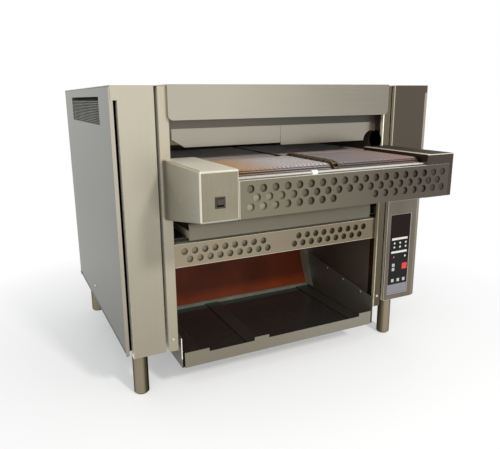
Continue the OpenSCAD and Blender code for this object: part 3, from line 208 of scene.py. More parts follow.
def take_up(piece):
    """One piece selected alone and made active, for the operators that follow."""
    bpy.ops.object.select_all(action="DESELECT")
    piece.select_set(True)
    bpy.context.view_layer.objects.active = piece


def modify(piece, kind, **settings):
    """One modifier of the active piece, set and applied."""
    bpy.ops.object.modifier_add(type=kind)
    modifier = piece.modifiers[-1]
    for name, setting in settings.items():
        setattr(modifier, name, setting)
    bpy.ops.object.modifier_apply(modifier=modifier.name)


def smooth_bends(piece):
    """Smooth shading over the bends of a piece, with its flat faces kept flat."""
    take_up(piece)
    bpy.ops.mesh.customdata_custom_splitnormals_clear()
    bpy.ops.object.shade_smooth_by_angle(angle=radians(46))
    modify(piece, "WEIGHTED_NORMAL", keep_sharp=True)


def bent_sheet(node, finish, body="cabinet", bend=0.0022, burr=0.0005, bend_finish=None):
    """The node's solid as sheet work: triangles merged to whole faces, bends rounded, cut edges broken."""
    shortest_bend = 0.012
    room_per_bend = 2.4
    piece = bpy.data.objects.new(node + "_made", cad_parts[node].data.copy())
    scene.collection.objects.link(piece)
    piece.data.materials.clear()
    piece.data.materials.append(finish)
    piece.data.materials.append(bend_finish or finish)
    take_up(piece)
    bpy.ops.mesh.customdata_custom_splitnormals_clear()
    bpy.ops.object.mode_set(mode="EDIT")
    bpy.ops.mesh.select_mode(type="EDGE")
    bpy.ops.mesh.select_all(action="SELECT")
    bpy.ops.mesh.remove_doubles(threshold=0.000002)
    bpy.ops.mesh.dissolve_limited(angle_limit=radians(0.6))
    bpy.ops.mesh.select_all(action="DESELECT")
    shape = bmesh.from_edit_mesh(piece.data)
    bends = 0
    for edge in shape.edges:
        if len(edge.link_faces) != 2 or not edge.is_convex or edge.calc_length() < shortest_bend:
            continue
        room_there = min(room_beside(edge, face) for face in edge.link_faces)
        if edge.calc_face_angle() > radians(50) and room_there > room_per_bend * bend:
            edge.select_set(True)
            bends += 1
    bmesh.update_edit_mesh(piece.data)
    if bends and bend:
        bpy.ops.mesh.bevel(offset=bend, segments=3, affect="EDGES", clamp_overlap=True, material=1)
    bpy.ops.object.mode_set(mode="OBJECT")
    if burr:
        modify(piece, "BEVEL", width=burr, segments=1, limit_method="ANGLE", angle_limit=radians(42))
    smooth_bends(piece)
    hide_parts(node)
    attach(piece, body)
    return piece


black_enamel = satin_paint("black_enamel", (38, 37, 36), (58, 55, 51), 0.42)
bent_sheet("base_frame", black_enamel)


# The four legs are stainless tube with a welded flange under the base plates and a closed, bevelled foot.
# The tube is drawn and lightly polished, so its grain runs round it.
# Its inner side, towards the opening, is painted darker in three steps, a painted shade.
def brushed_steel(name, pale, deep, roughness, grain, fade=None, metallic=0.92, relief=0.00006, smear=2.4,
                  rim=None, shine=None):
    """Brushed sheet: short streaks along the grain, slow drifts between two tones, and hand-dulled patches.
    grain gives the streaks per metre along x, y and z, and smear the drifts per metre; fade is
    (axis, deep_at, pale_at) for a slow change of tone; rim dims the mirror image of a round piece
    towards its outline, as an oxide skin does."""
    finish, tree, metal = blank_finish(name, metallic, shine)
    metal.inputs["Anisotropic"].default_value = 0.25
    if rim is not None:
        metal.inputs["Specular Tint"].default_value = display_tone(*rim)
    place = add_node(tree, "TexCoord").outputs["Object"]
    stretch = add_node(tree, "Mapping", {"Scale": grain}, {"Vector": place})
    streaks = add_node(tree, "TexNoise", {"Scale": 1.0, "Detail": 4, "Roughness": 0.65},
                       {"Vector": stretch.outputs["Vector"]}).outputs["Fac"]
    drift = add_node(tree, "TexNoise", {"Scale": smear, "Detail": 4, "Roughness": 0.55}, {"Vector": place})
    drift_gain, drift_start = (0.9, -0.1) if fade is None else (0.45, -0.35)
    drift_part = add_node(tree, "Math", {1: drift_gain, 2: drift_start}, {0: drift.outputs["Fac"]},
                          operation="MULTIPLY_ADD")
    share = add_node(tree, "Math", {1: 0.35}, {0: streaks, 2: drift_part.outputs[0]},
                     operation="MULTIPLY_ADD")
    tone_share = share
    if fade is not None:
        fade_axis, deep_at, pale_at = fade
        split = add_node(tree, "SeparateXYZ", feeds={0: place})
        ramp = add_node(tree, "MapRange", {"From Min": deep_at, "From Max": pale_at},
                        {"Value": split.outputs[fade_axis]}, interpolation_type="SMOOTHSTEP")
        tone_share = add_node(tree, "Math", feeds={0: share.outputs[0], 1: ramp.outputs["Result"]},
                              operation="ADD", use_clamp=True)
    tones = add_node(tree, "Mix", {"A": display_tone(*deep), "B": display_tone(*pale)},
                     {"Factor": tone_share.outputs[0]}, data_type="RGBA")
    dulling = add_node(tree, "MapRange", {
        "From Min": 0.25, "From Max": 0.8, "To Min": max(roughness - 0.08, 0.05),
        "To Max": min(roughness + 0.12, 0.9)}, {"Value": share.outputs[0]})
    grain_relief = add_node(tree, "Bump", {"Strength": 0.4, "Distance": relief}, {"Height": streaks})
    link_surface(tree, metal, tones, dulling, grain_relief)
    return finish


def refinish(piece, finish, toward=None, slant=0.75, **limits):
    """Another finish for the faces that look one way: here mostly painted light and shade on faces that meet
    the light differently, and also a printed strip and a red lamp.
    Limits such as x_from or z_to hold it to the faces whose middle lies there."""
    if finish.name not in piece.data.materials:
        piece.data.materials.append(finish)
    number = piece.data.materials.find(finish.name)
    for face in piece.data.polygons:
        if toward is not None and face.normal.dot(Vector(toward)) < slant:
            continue
        outside = False
        for limit_name, limit in limits.items():
            place = face.center["xyz".index(limit_name[0])]
            outside = outside or (place < limit if limit_name.endswith("_from") else place > limit)
        if not outside:
            face.material_index = number


to_left = (-1, 0, 0)
to_right = (1, 0, 0)
leg_rim = (52, 45, 37)
leg_grain = (60, 60, 900)
leg_steel = brushed_steel("leg_tube_steel", (164, 153, 133), (120, 110, 93), 0.24, leg_grain, rim=leg_rim)
legs = bent_sheet("legs", leg_steel, bend=0.0012)
# Three darker copies of the leg steel on faces that look more and more inwards: a painted shade.
for shade_step_name, shade_step_pale, shade_step_deep, left_slant, right_slant in (
        ("leg_light_painted_shade", (140, 129, 109), (112, 103, 86), 0.08, 0.58),
        ("leg_mid_painted_shade", (110, 100, 82), (88, 80, 65), 0.22, 0.74),
        ("leg_deep_painted_shade", (82, 75, 61), (66, 60, 48), 0.42, 0.9)):
    painted_shade_leg = brushed_steel(shade_step_name, shade_step_pale, shade_step_deep, 0.24, leg_grain, rim=leg_rim)
    refinish(legs, painted_shade_leg, to_right, left_slant, x_to=0)
    refinish(legs, painted_shade_leg, to_left, right_slant, x_from=0)

# The side panels are blue-grey brushed sheet with folded flanges at the front, the back and the top.
# Each has one long vent cut near its top, stands on the base frame and is screwed to the back panel.
# Their narrow front flanges show beside the covers, in the warmer tone of the front.
# Panels and flanges are painted darker towards the bottom, a painted shade; the right flange is painted
# darker than the left, a painted reflection of dark surroundings.
x_axis = 0
y_axis = 1
z_axis = 2
to_front = (0, -1, 0)
upright_grain = (700, 700, 8)
even_grain = (300, 300, 300)
flange_fade = (z_axis, 0.1, 0.75)
side_steel = brushed_steel("side_panel_steel", (124, 125, 116), (94, 94, 86), 0.4, (500, 9, 700),
                           fade=(z_axis, 0.46, 0.98))
left_flange_steel = brushed_steel("left_flange_steel", (190, 182, 168), (150, 143, 128), 0.3, upright_grain,
                                  fade=flange_fade)
right_flange_steel = brushed_steel("right_flange_steel", (168, 157, 142), (120, 110, 98), 0.3, upright_grain,
                                   fade=flange_fade)
# The next three finishes paint light: the first a highlight on the polished bends, the second a light on
# folded returns and edges, the third, nearly white, a light in grooves and on edges that lie in shade.
bend_highlight_steel = brushed_steel("bend_highlight_steel", (230, 224, 206), (206, 198, 178), 0.2, even_grain)
return_painted_light = brushed_steel("return_painted_light", (226, 217, 194), (196, 186, 162), 0.4, even_grain,
                              metallic=0.35)
painted_light_pale = brushed_steel("painted_light_pale", (240, 236, 220), (222, 218, 202), 0.5, even_grain, metallic=0.0)
groove_x = -0.455
groove_y = -0.2445
left_side = bent_sheet("left_side_panel", side_steel)
refinish(left_side, left_flange_steel, to_front)
# The left panel's flange inside the groove beside the cover is painted nearly white, a painted light.
refinish(left_side, painted_light_pale, to_right, x_to=groove_x, y_to=groove_y)
right_side = bent_sheet("right_side_panel", side_steel)
refinish(right_side, right_flange_steel, to_front)

# The louvres behind the vents are slanted blades between two end plates, all of painted sheet.
# They keep hands and splashes out of the cabinet.
louvre_paint = satin_paint("louvre_paint", (116, 117, 107), (94, 95, 87), 0.45, metallic=0.2)
bent_sheet("vent_louvres", louvre_paint, bend=0.0008, burr=0.0003)

# The roof is one sheet with a row of flue slots, and the back is a dished box with louvre slots.
# Both are brushed stainless; the roof lies on the side panels' flanges, the back is screwed to them.
roof_steel = brushed_steel("roof_steel", (196, 190, 174), (160, 154, 139), 0.4, (8, 600, 600))
back_steel = brushed_steel("back_steel", (182, 178, 166), (148, 144, 133), 0.42, (9, 600, 700))
# Their bends are painted paler, a painted highlight.
bent_sheet("roof_panel", roof_steel, bend_finish=bend_highlight_steel)
bent_sheet("back_panel", back_steel, bend_finish=bend_highlight_steel)


# The two posts beside the opening are folded channels of bright sheet that carry hood, loader and covers.
# The left one is pale; the right one is painted a darker brown, a painted reflection of dark surroundings,
# with a painted highlight along its inner edge. Both are painted darker towards the bottom, a painted shade,
# with painted highlights on their bends, and the left one's side in the groove is painted nearly white, a
# painted light.
def cut_round(piece, axis, place):
    """A cut line round a piece at one place on an axis, so that its finish can change there."""
    across = [0, 0, 0]
    across[axis] = 1
    take_up(piece)
    bpy.ops.object.mode_set(mode="EDIT")
    bpy.ops.mesh.select_all(action="SELECT")
    bpy.ops.mesh.bisect(plane_co=[place * share for share in across], plane_no=across)
    bpy.ops.object.mode_set(mode="OBJECT")
    smooth_bends(piece)


square_on = 0.98
post_bend = 0.0055
post_steel = brushed_steel("post_steel", (169, 161, 143), (143, 134, 116), 0.3, upright_grain,
                           fade=(z_axis, 0.1, 0.72), metallic=0.25)
post_edge_highlight = brushed_steel("post_edge_highlight", (240, 234, 216), (150, 138, 108), 0.45, even_grain,
                                fade=(z_axis, 0.42, 0.66), metallic=0.0)
post_painted_reflection = brushed_steel("post_painted_reflection", (106, 97, 80), (84, 76, 62), 0.3, upright_grain,
                                   fade=flange_fade)
left_post = bent_sheet("left_post", post_steel, bend=post_bend, bend_finish=bend_highlight_steel)
right_post = bent_sheet("right_post", post_steel, bend=post_bend, bend_finish=bend_highlight_steel)
refinish(left_post, painted_light_pale, to_left, square_on)
bright_strip_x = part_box("right_post")[0][0] + 0.0035
bright_strip_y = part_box("right_post")[0][1] + 0.010
cut_round(right_post, x_axis, bright_strip_x)
cut_round(right_post, y_axis, bright_strip_y)
# Painted reflection on the right post's front and inner side, painted highlight on the strip along its inner
# edge.
refinish(right_post, post_painted_reflection, to_front, square_on)
refinish(right_post, post_edge_highlight, to_front, x_to=bright_strip_x)
refinish(right_post, post_edge_highlight, to_left, square_on, y_to=bright_strip_y)
refinish(right_post, post_painted_reflection, to_left, square_on, y_from=bright_strip_y)

# The front covers are flat panels folded back at their edges, with a small tab at the top outer corner.
# The left one is pale and bright, painted darker towards the bottom, a painted shade,
# and its folded edge in the groove is painted nearly white, a painted light.
# The right one, over the controls, is painted dark brown-grey, a painted reflection of dark surroundings,
# also darker towards the bottom. Both have painted highlights on their bends.
# The right one's folded edge beside the post is painted pale, a painted highlight.
cover_grain = (700, 700, 7)
cover_steel = brushed_steel("left_cover_steel", (163, 157, 141), (134, 127, 111), 0.3, cover_grain,
                            fade=(z_axis, 0.15, 0.82), metallic=0.12)
right_cover_painted_reflection = brushed_steel("right_cover_steel", (88, 80, 70), (74, 66, 58), 0.3, cover_grain,
                              fade=(z_axis, 0.2, 0.8))
cover_edge_highlight = brushed_steel("cover_edge_highlight", (176, 167, 147), (146, 137, 118), 0.4, (300, 300, 8),
                                metallic=0.35)
front_plane_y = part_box("left_post")[0][1]
cover_face_y = -0.2465
left_cover = bent_sheet("left_front_cover", cover_steel, bend_finish=bend_highlight_steel)
refinish(left_cover, painted_light_pale, to_left, y_from=cover_face_y)
right_cover = bent_sheet("right_front_cover", right_cover_painted_reflection, bend_finish=bend_highlight_steel)
fold_y = front_plane_y + 0.0065
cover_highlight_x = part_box("right_front_cover")[0][0] + 0.004
cut_round(right_cover, x_axis, cover_highlight_x)
cut_round(right_cover, y_axis, fold_y)
# Painted highlight on the right cover's edge strip and the front of its return; painted reflection on the
# return further back.
refinish(right_cover, cover_edge_highlight, to_front, x_to=cover_highlight_x)
refinish(right_cover, return_painted_light, to_left, y_to=fold_y)
refinish(right_cover, right_cover_painted_reflection, to_left, y_from=fold_y)

# The hood is a folded pan across the top of the opening, with rounded lower corners.
# It is welded at the corners, ground smooth and brushed along its length.
# The hood is painted darker towards the right, a painted shade, and its bends paler, a painted highlight.
hood_steel = brushed_steel("hood_steel", (180, 174, 159), (138, 133, 121), 0.3, (7, 700, 700),
                           fade=(x_axis, 0.33, -0.3))
bent_sheet("front_hood", hood_steel, bend=0.003, bend_finish=bend_highlight_steel)

# The inner walls of the chamber are single sheets, browned and blackened by the flames.
# The liner between them is front, ceiling and rear wall of such sheet, greyer towards the loader.
sooty_steel = brushed_steel("sooty_steel", (112, 98, 84), (70, 58, 50), 0.42, (300, 300, 14), metallic=0.35,
                            smear=6)
# The liner's grey front is painted darker towards the right, a painted shade.
liner_grey = brushed_steel("liner_grey", (112, 107, 97), (79, 75, 72), 0.45, (9, 400, 400), metallic=0.5,
                           fade=(x_axis, 0.25, -0.2))
bent_sheet("left_inner_wall", sooty_steel)
bent_sheet("right_inner_wall", sooty_steel)
liner = bent_sheet("chamber_liner", sooty_steel)
gate_top_z = 0.7
liner_front_y = -0.2125
cut_round(liner, z_axis, gate_top_z)
refinish(liner, liner_grey, to_front, y_to=liner_front_y, z_from=gate_top_z)

# The burners are slotted tubes of heat-stained steel, and the igniter is a ceramic rod beside them.
# Manifold and valve are gas pipe work behind the left cover; the inlet runs from there to the back.
burner_steel = brushed_steel("burner_steel", (122, 104, 88), (66, 58, 56), 0.45, (20, 500, 500), smear=9)
pipe_paint = satin_paint("pipe_paint", (46, 47, 50), (66, 64, 60), 0.4)
cast_alloy = satin_paint("cast_alloy", (168, 168, 170), (138, 137, 135), 0.5, metallic=0.85, grit=260)
igniter_ceramic = satin_paint("igniter_ceramic", (224, 219, 206), (176, 160, 140), 0.6)
for burners in ("upper_burners", "lower_burners"):
    bent_sheet(burners, burner_steel, bend=0.001)
bent_sheet("gas_manifold", pipe_paint, bend=0.001)
bent_sheet("gas_valve", cast_alloy, bend=0.0015)
bent_sheet("gas_inlet", pipe_paint, bend=0.001)
bent_sheet("igniter", igniter_ceramic, bend=0.0006, burr=0.0003)

# The two height gates hang behind the hood, one for each lane, on studs in slots of the liner.
# They are bright flat strips, and each can be set up or down by itself.
# The gates are painted darker towards the right, a painted shade.
gate_steel = brushed_steel("gate_steel", (164, 160, 146), (148, 142, 130), 0.3, (8, 600, 700),
                           fade=(x_axis, 0.25, -0.25))
for gate in ("left_gate", "right_gate"):
    bent_sheet(gate, gate_steel, body=gate, bend=0, burr=0.0002)

# Shafts with their rollers are ground steel, dark with use, in bronze bushes.
# The motors with their gear cases are painted castings.
roller_steel = brushed_steel("roller_steel", (122, 114, 106), (80, 73, 67), 0.3, (40, 800, 800))
bush_bronze = brushed_steel("bush_bronze", (170, 136, 82), (124, 96, 56), 0.4, even_grain)
motor_paint = satin_paint("motor_paint", (66, 74, 86), (52, 58, 66), 0.35)
for shaft in ("broil_front_shaft", "broil_rear_shaft", "loader_front_shaft", "loader_rear_shaft"):
    bent_sheet(shaft, roller_steel, body=shaft, bend=0.001)
bent_sheet("shaft_bearings", bush_bronze, bend=0.0012)
bent_sheet("drive_motor", motor_paint, bend=0.0025)
bent_sheet("loader_motor", motor_paint, bend=0.0025)

# The loader boxes are welded stainless housings with a sloped foot, hung on the posts.
# The left one's top is painted paler and its side and sloped foot a paler grey than its front,
# painted light by the way each face meets the light; its bends carry a painted highlight.
# The right one is painted dark brown, a painted reflection of dark surroundings,
# its top darker and matt, a painted reflection too, but for one lip along its left edge, painted pale as a
# highlight.
upward = (0, 0, 1)
downward = (0, 0, -1)
sloped = 0.25
box_front_steel = brushed_steel("box_front_steel", (166, 159, 138), (124, 118, 99), 0.24, (300, 300, 7),
                                smear=9, relief=0.00002)
box_top_painted_light = brushed_steel("box_top_painted_light", (224, 218, 203), (204, 197, 181), 0.4, (9, 600, 600),
                              metallic=0.4)
box_side_painted_light = brushed_steel("box_side_painted_light", (182, 181, 169), (164, 163, 152), 0.3, (300, 7, 300),
                               relief=0.00002)
right_box_painted_reflection = brushed_steel("right_box_painted_reflection", (84, 76, 69), (62, 55, 50), 0.28, (12, 12, 700))
right_top_painted_reflection = brushed_steel("right_top_painted_reflection", (64, 57, 49), (50, 45, 39), 0.6, (9, 600, 600),
                                  metallic=0.0, shine=0.05)
left_box = bent_sheet("loader_left_box", box_front_steel, bend=0.004, bend_finish=bend_highlight_steel)
# Painted light: a paler top, and a paler grey on the side and the sloped foot.
refinish(left_box, box_top_painted_light, upward, square_on)
refinish(left_box, box_side_painted_light, to_left, square_on)
refinish(left_box, box_side_painted_light, downward, sloped)
right_box = bent_sheet("loader_right_box", right_box_painted_reflection, bend_finish=bend_highlight_steel)
bright_lip_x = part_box("loader_right_box")[0][0] + 0.011
guard_top_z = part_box("loader_guard")[1][2]
cut_round(right_box, x_axis, bright_lip_x)
# Painted reflection on the top, painted highlight on the lip.
refinish(right_box, right_top_painted_reflection, upward, square_on)
refinish(right_box, return_painted_light, upward, x_to=bright_lip_x)
refinish(right_box, right_box_painted_reflection, to_left, square_on)
refinish(right_box, right_box_painted_reflection, z_to=guard_top_z - 0.004)

# The loader bed is a flat plate under the top run of the belts, and the nose rod is a bright bar before it.
# The rod is polished by the food that slides over it, and carries one white clip.
bed_steel = brushed_steel("bed_steel", (128, 116, 108), (92, 82, 76), 0.45, (9, 400, 400))
rod_steel = brushed_steel("rod_steel", (200, 197, 190), (166, 162, 154), 0.16, (30, 600, 600))
bent_sheet("loader_bed", bed_steel, bend=0.001)
bent_sheet("nose_rod", rod_steel, bend=0.001)
clip_plastic = satin_paint("clip_plastic", (236, 236, 238), (214, 214, 218), 0.35)
clip_place = (-0.079, -0.4805, 0.617)
bpy.ops.object.select_all(action="DESELECT")
bpy.ops.mesh.primitive_cylinder_add(vertices=24, radius=0.0056, depth=0.014, end_fill_type="NOTHING",
                                    location=clip_place, rotation=(0, pi / 2, 0))
rod_clip = bpy.context.object
rod_clip.name = "nose_rod_clip"
bpy.ops.object.transform_apply()
modify(rod_clip, "SOLIDIFY", thickness=0.0014, offset=-1)
modify(rod_clip, "BEVEL", width=0.0005, segments=2)
bpy.ops.object.shade_smooth_by_angle(angle=radians(40))
rod_clip.data.materials.append(clip_plastic)
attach(rod_clip, "cabinet")

# The two guards are double: punched sheet with staggered round holes over a plain back sheet.
# Their edges are folded back to it; the upper one is fixed to the boxes, the lower to the inner walls.
guard_grain = (9, 600, 600)
guard_back_grain = (9, 400, 400)
# Both punched sheets are painted darker towards the right, a painted shade. Their back sheets, seen through
# the holes, are painted darker towards the right too, and the upper one darker still behind its top row, a
# painted shadow of the top fold. The upper guard's top edge is painted nearly white, a painted highlight, and
# the lower guard's top ledge pale, a painted light.
guard_steel = brushed_steel("guard_steel", (128, 122, 104), (86, 78, 71), 0.3, guard_grain,
                            fade=(x_axis, 0.25, -0.3))
guard_back_steel = brushed_steel("guard_back_steel", (140, 134, 114), (66, 59, 48), 0.4, guard_back_grain,
                                 fade=(x_axis, -0.06, -0.28), metallic=0.3)
shaded_back_steel = brushed_steel("shaded_back_steel", (94, 86, 68), (60, 53, 43), 0.4, guard_back_grain,
                                  fade=(x_axis, 0.15, -0.3), metallic=0.3)
low_back_steel = brushed_steel("low_back_steel", (142, 134, 113), (82, 73, 58), 0.4, guard_back_grain,
                               fade=(x_axis, 0.28, -0.3), metallic=0.3)
ledge_painted_light = brushed_steel("ledge_painted_light", (232, 234, 216), (206, 208, 190), 0.4, (9, 500, 500), metallic=0.1)
low_guard_steel = brushed_steel("low_guard_steel", (152, 140, 118), (121, 110, 91), 0.3, guard_grain,
                                fade=(x_axis, 0.36, -0.3))
row_gap_z = guard_top_z - 0.0275
guard_back_y = -0.4915
low_back_y = -0.2345
ledge_z = 0.419
with_edges = 0.6
loader_guard = bent_sheet("loader_guard", guard_steel, bend=0.0015, burr=0.0004,
                          bend_finish=bend_highlight_steel)
cut_round(loader_guard, z_axis, row_gap_z)
# Painted shade on the back sheet, painted shadow behind the top row, painted highlight on the top edge.
refinish(loader_guard, guard_back_steel, y_from=guard_back_y)
refinish(loader_guard, shaded_back_steel, to_front, y_from=guard_back_y, z_from=row_gap_z)
refinish(loader_guard, painted_light_pale, upward, with_edges, z_from=guard_top_z - 0.002)
lower_guard = bent_sheet("lower_guard", low_guard_steel, bend=0.0015, burr=0.0004,
                         bend_finish=bend_highlight_steel)
# Painted shade on the back sheet, painted light on the top ledge.
refinish(lower_guard, low_back_steel, y_from=low_back_y)
refinish(lower_guard, ledge_painted_light, upward, z_from=ledge_z)


# The belts are woven from steel wire: straight cross rods, each tied to the next by a zigzag strand.
# Heat has coloured the wire, grey in the middle of the loader and coppery towards its sides.
def loop_pins(front_y, rear_y, axis_z, radius, count):
    """Evenly spaced points of a belt or chain that runs round two equal rollers, as (y, z)."""
    straight = rear_y - front_y
    turn = pi * radius
    pins = []
    for number in range(count):
        gone = (straight + turn) * 2 * number / count
        if gone < straight:
            pins.append((rear_y - gone, axis_z + radius))
        elif gone < straight + turn:
            angle = (gone - straight) / radius
            pins.append((front_y - radius * sin(angle), axis_z + radius * cos(angle)))
        elif gone < 2 * straight + turn:
            pins.append((front_y + gone - straight - turn, axis_z - radius))
        else:
            angle = (gone - 2 * straight - turn) / radius
            pins.append((rear_y + radius * sin(angle), axis_z - radius * cos(angle)))
    return pins


def set_round_loop(links, pins, name):
    """Copies of the links in turn, each from one pin to the next, joined to one piece."""
    bpy.ops.object.select_all(action="DESELECT")
    for number, (pin_y, pin_z) in enumerate(pins):
        next_y, next_z = pins[(number + 1) % len(pins)]
        link_mesh = links[number % len(links)].data.copy()
        heading = Vector((next_y - pin_y, next_z - pin_z))
        turn_x = Matrix.Rotation(heading.angle_signed(Vector((1, 0))), 4, "X")
        link_mesh.transform(Matrix.Translation((0, pin_y, pin_z)) @ turn_x)
        copy = bpy.data.objects.new(name, link_mesh)
        scene.collection.objects.link(copy)
        copy.select_set(True)
        bpy.context.view_layer.objects.active = copy
    bpy.ops.object.join()
    loop = bpy.context.object
    loop.name = name
    for link in links:
        bpy.data.objects.remove(link)
    return loop


def woven_belt(name, node, low_x, high_x, loop, radius, row_pitch, finish):
    """One lane of woven wire belt between two edges, run round its two rollers."""
    front_y, rear_y, axis_z = loop
    rod_radius = 0.00105
    strand_radius = 0.0008
    strand_inset = 0.0015
    zigzag_pitch = 0.011
    wave_count = 2 * round((high_x - low_x) / zigzag_pitch)
    wave = (high_x - low_x - 2 * strand_inset) / wave_count
    pin_count = round(2 * ((rear_y - front_y) + pi * radius) / row_pitch)
    bpy.ops.object.select_all(action="DESELECT")
    bpy.ops.mesh.primitive_cylinder_add(vertices=6, radius=rod_radius, depth=high_x - low_x,
                                        location=((low_x + high_x) / 2, 0, 0), rotation=(0, pi / 2, 0))
    bpy.ops.object.transform_apply()
    rod = bpy.context.object
    bpy.ops.object.select_all(action="DESELECT")
    bpy.ops.mesh.primitive_circle_add(vertices=4, radius=strand_radius, fill_type="NGON",
                                      location=(low_x + strand_inset, 0, 0), rotation=(0, pi / 2, 0))
    bpy.ops.object.transform_apply()
    bpy.ops.object.mode_set(mode="EDIT")
    bpy.ops.mesh.select_all(action="SELECT")
    for number in range(wave_count):
        step = row_pitch if number % 2 == 0 else -row_pitch
        bpy.ops.mesh.extrude_region_move(TRANSFORM_OT_translate={"value": (wave, step, 0)})
    bpy.ops.mesh.select_all(action="SELECT")
    bpy.ops.mesh.normals_make_consistent(inside=False)
    bpy.ops.object.mode_set(mode="OBJECT")
    rod.select_set(True)
    bpy.context.view_layer.objects.active = rod
    bpy.ops.object.join()
    lane = set_round_loop([rod], loop_pins(front_y, rear_y, axis_z, radius, pin_count), name)
    lane.data.materials.clear()
    lane.data.materials.append(finish)
    bpy.ops.object.shade_smooth_by_angle(angle=radians(62))
    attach(lane, "cabinet")
    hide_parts(node)


wire_grain = (55, 5, 5)
left_belt_wire = brushed_steel("left_belt_wire", (173, 167, 166), (175, 137, 98), 0.34, wire_grain,
                               fade=(x_axis, -0.27, -0.09), smear=8)
right_belt_wire = brushed_steel("right_belt_wire", (129, 120, 120), (148, 123, 113), 0.36, wire_grain,
                                fade=(x_axis, 0.24, 0.06), smear=8)
# The broiling belts are painted from a browner grey at the front to a paler grey further back, a painted
# light and shade of the slot under the gates.
broil_belt_wire = brushed_steel("broil_belt_wire", (150, 139, 132), (172, 168, 164), 0.4, wire_grain,
                                fade=(y_axis, -0.04, -0.17), metallic=0.25, smear=5)
left_lane_end = -0.0225
right_lane_start = -0.0025
loader_loop = (-0.4512, -0.2715, 0.6142)
loader_loop_radius = 0.01655
loader_row_pitch = 0.006
broil_loop = (-0.1955, 0.0775, 0.6032)
broil_loop_radius = 0.02155
broil_row_pitch = 0.008
woven_belt("left_loader_belt", "loader_belts", -0.2635, left_lane_end, loader_loop, loader_loop_radius,
           loader_row_pitch, left_belt_wire)
woven_belt("right_loader_belt", "loader_belts", right_lane_start, 0.2385, loader_loop, loader_loop_radius,
           loader_row_pitch, right_belt_wire)
woven_belt("left_broil_belt", "broil_belts", -0.321, left_lane_end, broil_loop, broil_loop_radius,
           broil_row_pitch, broil_belt_wire)
woven_belt("right_broil_belt", "broil_belts", right_lane_start, 0.296, broil_loop, broil_loop_radius,
           broil_row_pitch, broil_belt_wire)


# The roller chain between the lanes has oval side plates, pins and rollers at half-inch pitch.
# It is oiled steel, dark brown and worn golden.
def push_out(way):
    """The flat face of the piece in edit mode, pulled out to a plate with its faces turned outwards."""
    bpy.ops.mesh.select_all(action="SELECT")
    bpy.ops.mesh.extrude_region_move(TRANSFORM_OT_translate={"value": way})
    bpy.ops.mesh.select_all(action="SELECT")
    bpy.ops.mesh.normals_make_consistent(inside=False)


chain_steel = brushed_steel("chain_steel", (150, 128, 92), (44, 34, 27), 0.26, (160, 160, 160), smear=60)
chain_middle_x = -0.0125
chain_radius = 0.0193
chain_pitch = 0.0126
chain_count = 38
plate_radius = 0.0040
plate_thickness = 0.0012
roller_round = (0.0031, 0.0088)
pin_round = (0.0015, 0.0148)
chain_links = []
for link_name, plate_x in (("inner_link", 0.0050), ("outer_link", 0.0068)):
    link_parts = []
    for side in (-1, 1):
        bpy.ops.object.select_all(action="DESELECT")
        bpy.ops.mesh.primitive_circle_add(vertices=12, radius=plate_radius, fill_type="NGON",
                                          location=(side * plate_x - plate_thickness / 2, 0, 0),
                                          rotation=(0, pi / 2, 0))
        bpy.ops.object.transform_apply()
        plate = bpy.context.object
        for corner in plate.data.vertices:
            if corner.co.y > 0.0001:
                corner.co.y += chain_pitch
        bpy.ops.object.mode_set(mode="EDIT")
        push_out((plate_thickness, 0, 0))
        bpy.ops.object.mode_set(mode="OBJECT")
        link_parts.append(plate)
    for round_radius, round_length in (roller_round, pin_round):
        bpy.ops.mesh.primitive_cylinder_add(vertices=10, radius=round_radius, depth=round_length,
                                            location=(0, 0, 0), rotation=(0, pi / 2, 0))
        bpy.ops.object.transform_apply()
        link_parts.append(bpy.context.object)
    bpy.ops.object.select_all(action="DESELECT")
    for part in link_parts:
        part.select_set(True)
    bpy.context.view_layer.objects.active = link_parts[0]
    bpy.ops.object.join()
    link = bpy.context.object
    link.name = link_name
    link.data.transform(Matrix.Translation((chain_middle_x, 0, 0)))
    chain_links.append(link)
chain = set_round_loop(chain_links, loop_pins(*loader_loop, chain_radius, chain_count), "roller_chain")
chain.data.materials.clear()
chain.data.materials.append(chain_steel)
bpy.ops.object.shade_smooth_by_angle(angle=radians(40))
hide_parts("loader_chain")
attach(chain, "cabinet")

# The switch is a black moulded rocker in a rimmed housing, snapped into the left box.
# Its plastic is nearly matt.
switch_plastic = satin_paint("switch_plastic", (52, 48, 43), (66, 62, 56), 0.5, shine=0.25)
bent_sheet("switch_housing", switch_plastic, bend=0.0008, burr=0.0003)
bent_sheet("rocker_switch", switch_plastic, body="rocker_switch", bend=0.0008, burr=0.0003)

# The crumb tray is a shallow pressed tray whose front is pressed out to a rounded grip.
# It pulls out to the front on two black angle runners below the loader; its left side is painted pale, a
# painted light, and the tray is painted darker towards the right, a painted shade.
tray_steel = brushed_steel("tray_steel", (124, 119, 101), (104, 99, 82), 0.45, (8, 500, 500), metallic=0.3,
                           fade=(x_axis, 0.3, -0.3))
runner_paint = satin_paint("runner_paint", (28, 27, 26), (48, 45, 41), 0.45)
tray = bent_sheet("crumb_tray", tray_steel, body="crumb_tray", bend=0.001)
tray_front_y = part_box("crumb_tray")[0][1]
tray_low_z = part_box("crumb_tray")[0][2]
tray_high_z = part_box("crumb_tray")[1][2]
grip_bulge = 0.004
grip_steps = 8
grip_wall = 0.0012
for level in range(1, grip_steps):
    cut_round(tray, z_axis, tray_low_z + (tray_high_z - tray_low_z) * level / grip_steps)
for corner in tray.data.vertices:
    if corner.co.y < tray_front_y + grip_wall:
        height_share = (corner.co.z - tray_low_z) / (tray_high_z - tray_low_z)
        corner.co.y -= grip_bulge * 4 * height_share * (1 - height_share)
smooth_bends(tray)
# The left side is painted pale, a painted light.
refinish(tray, return_painted_light, to_left)
bent_sheet("tray_runners", runner_paint, bend=0.0015)

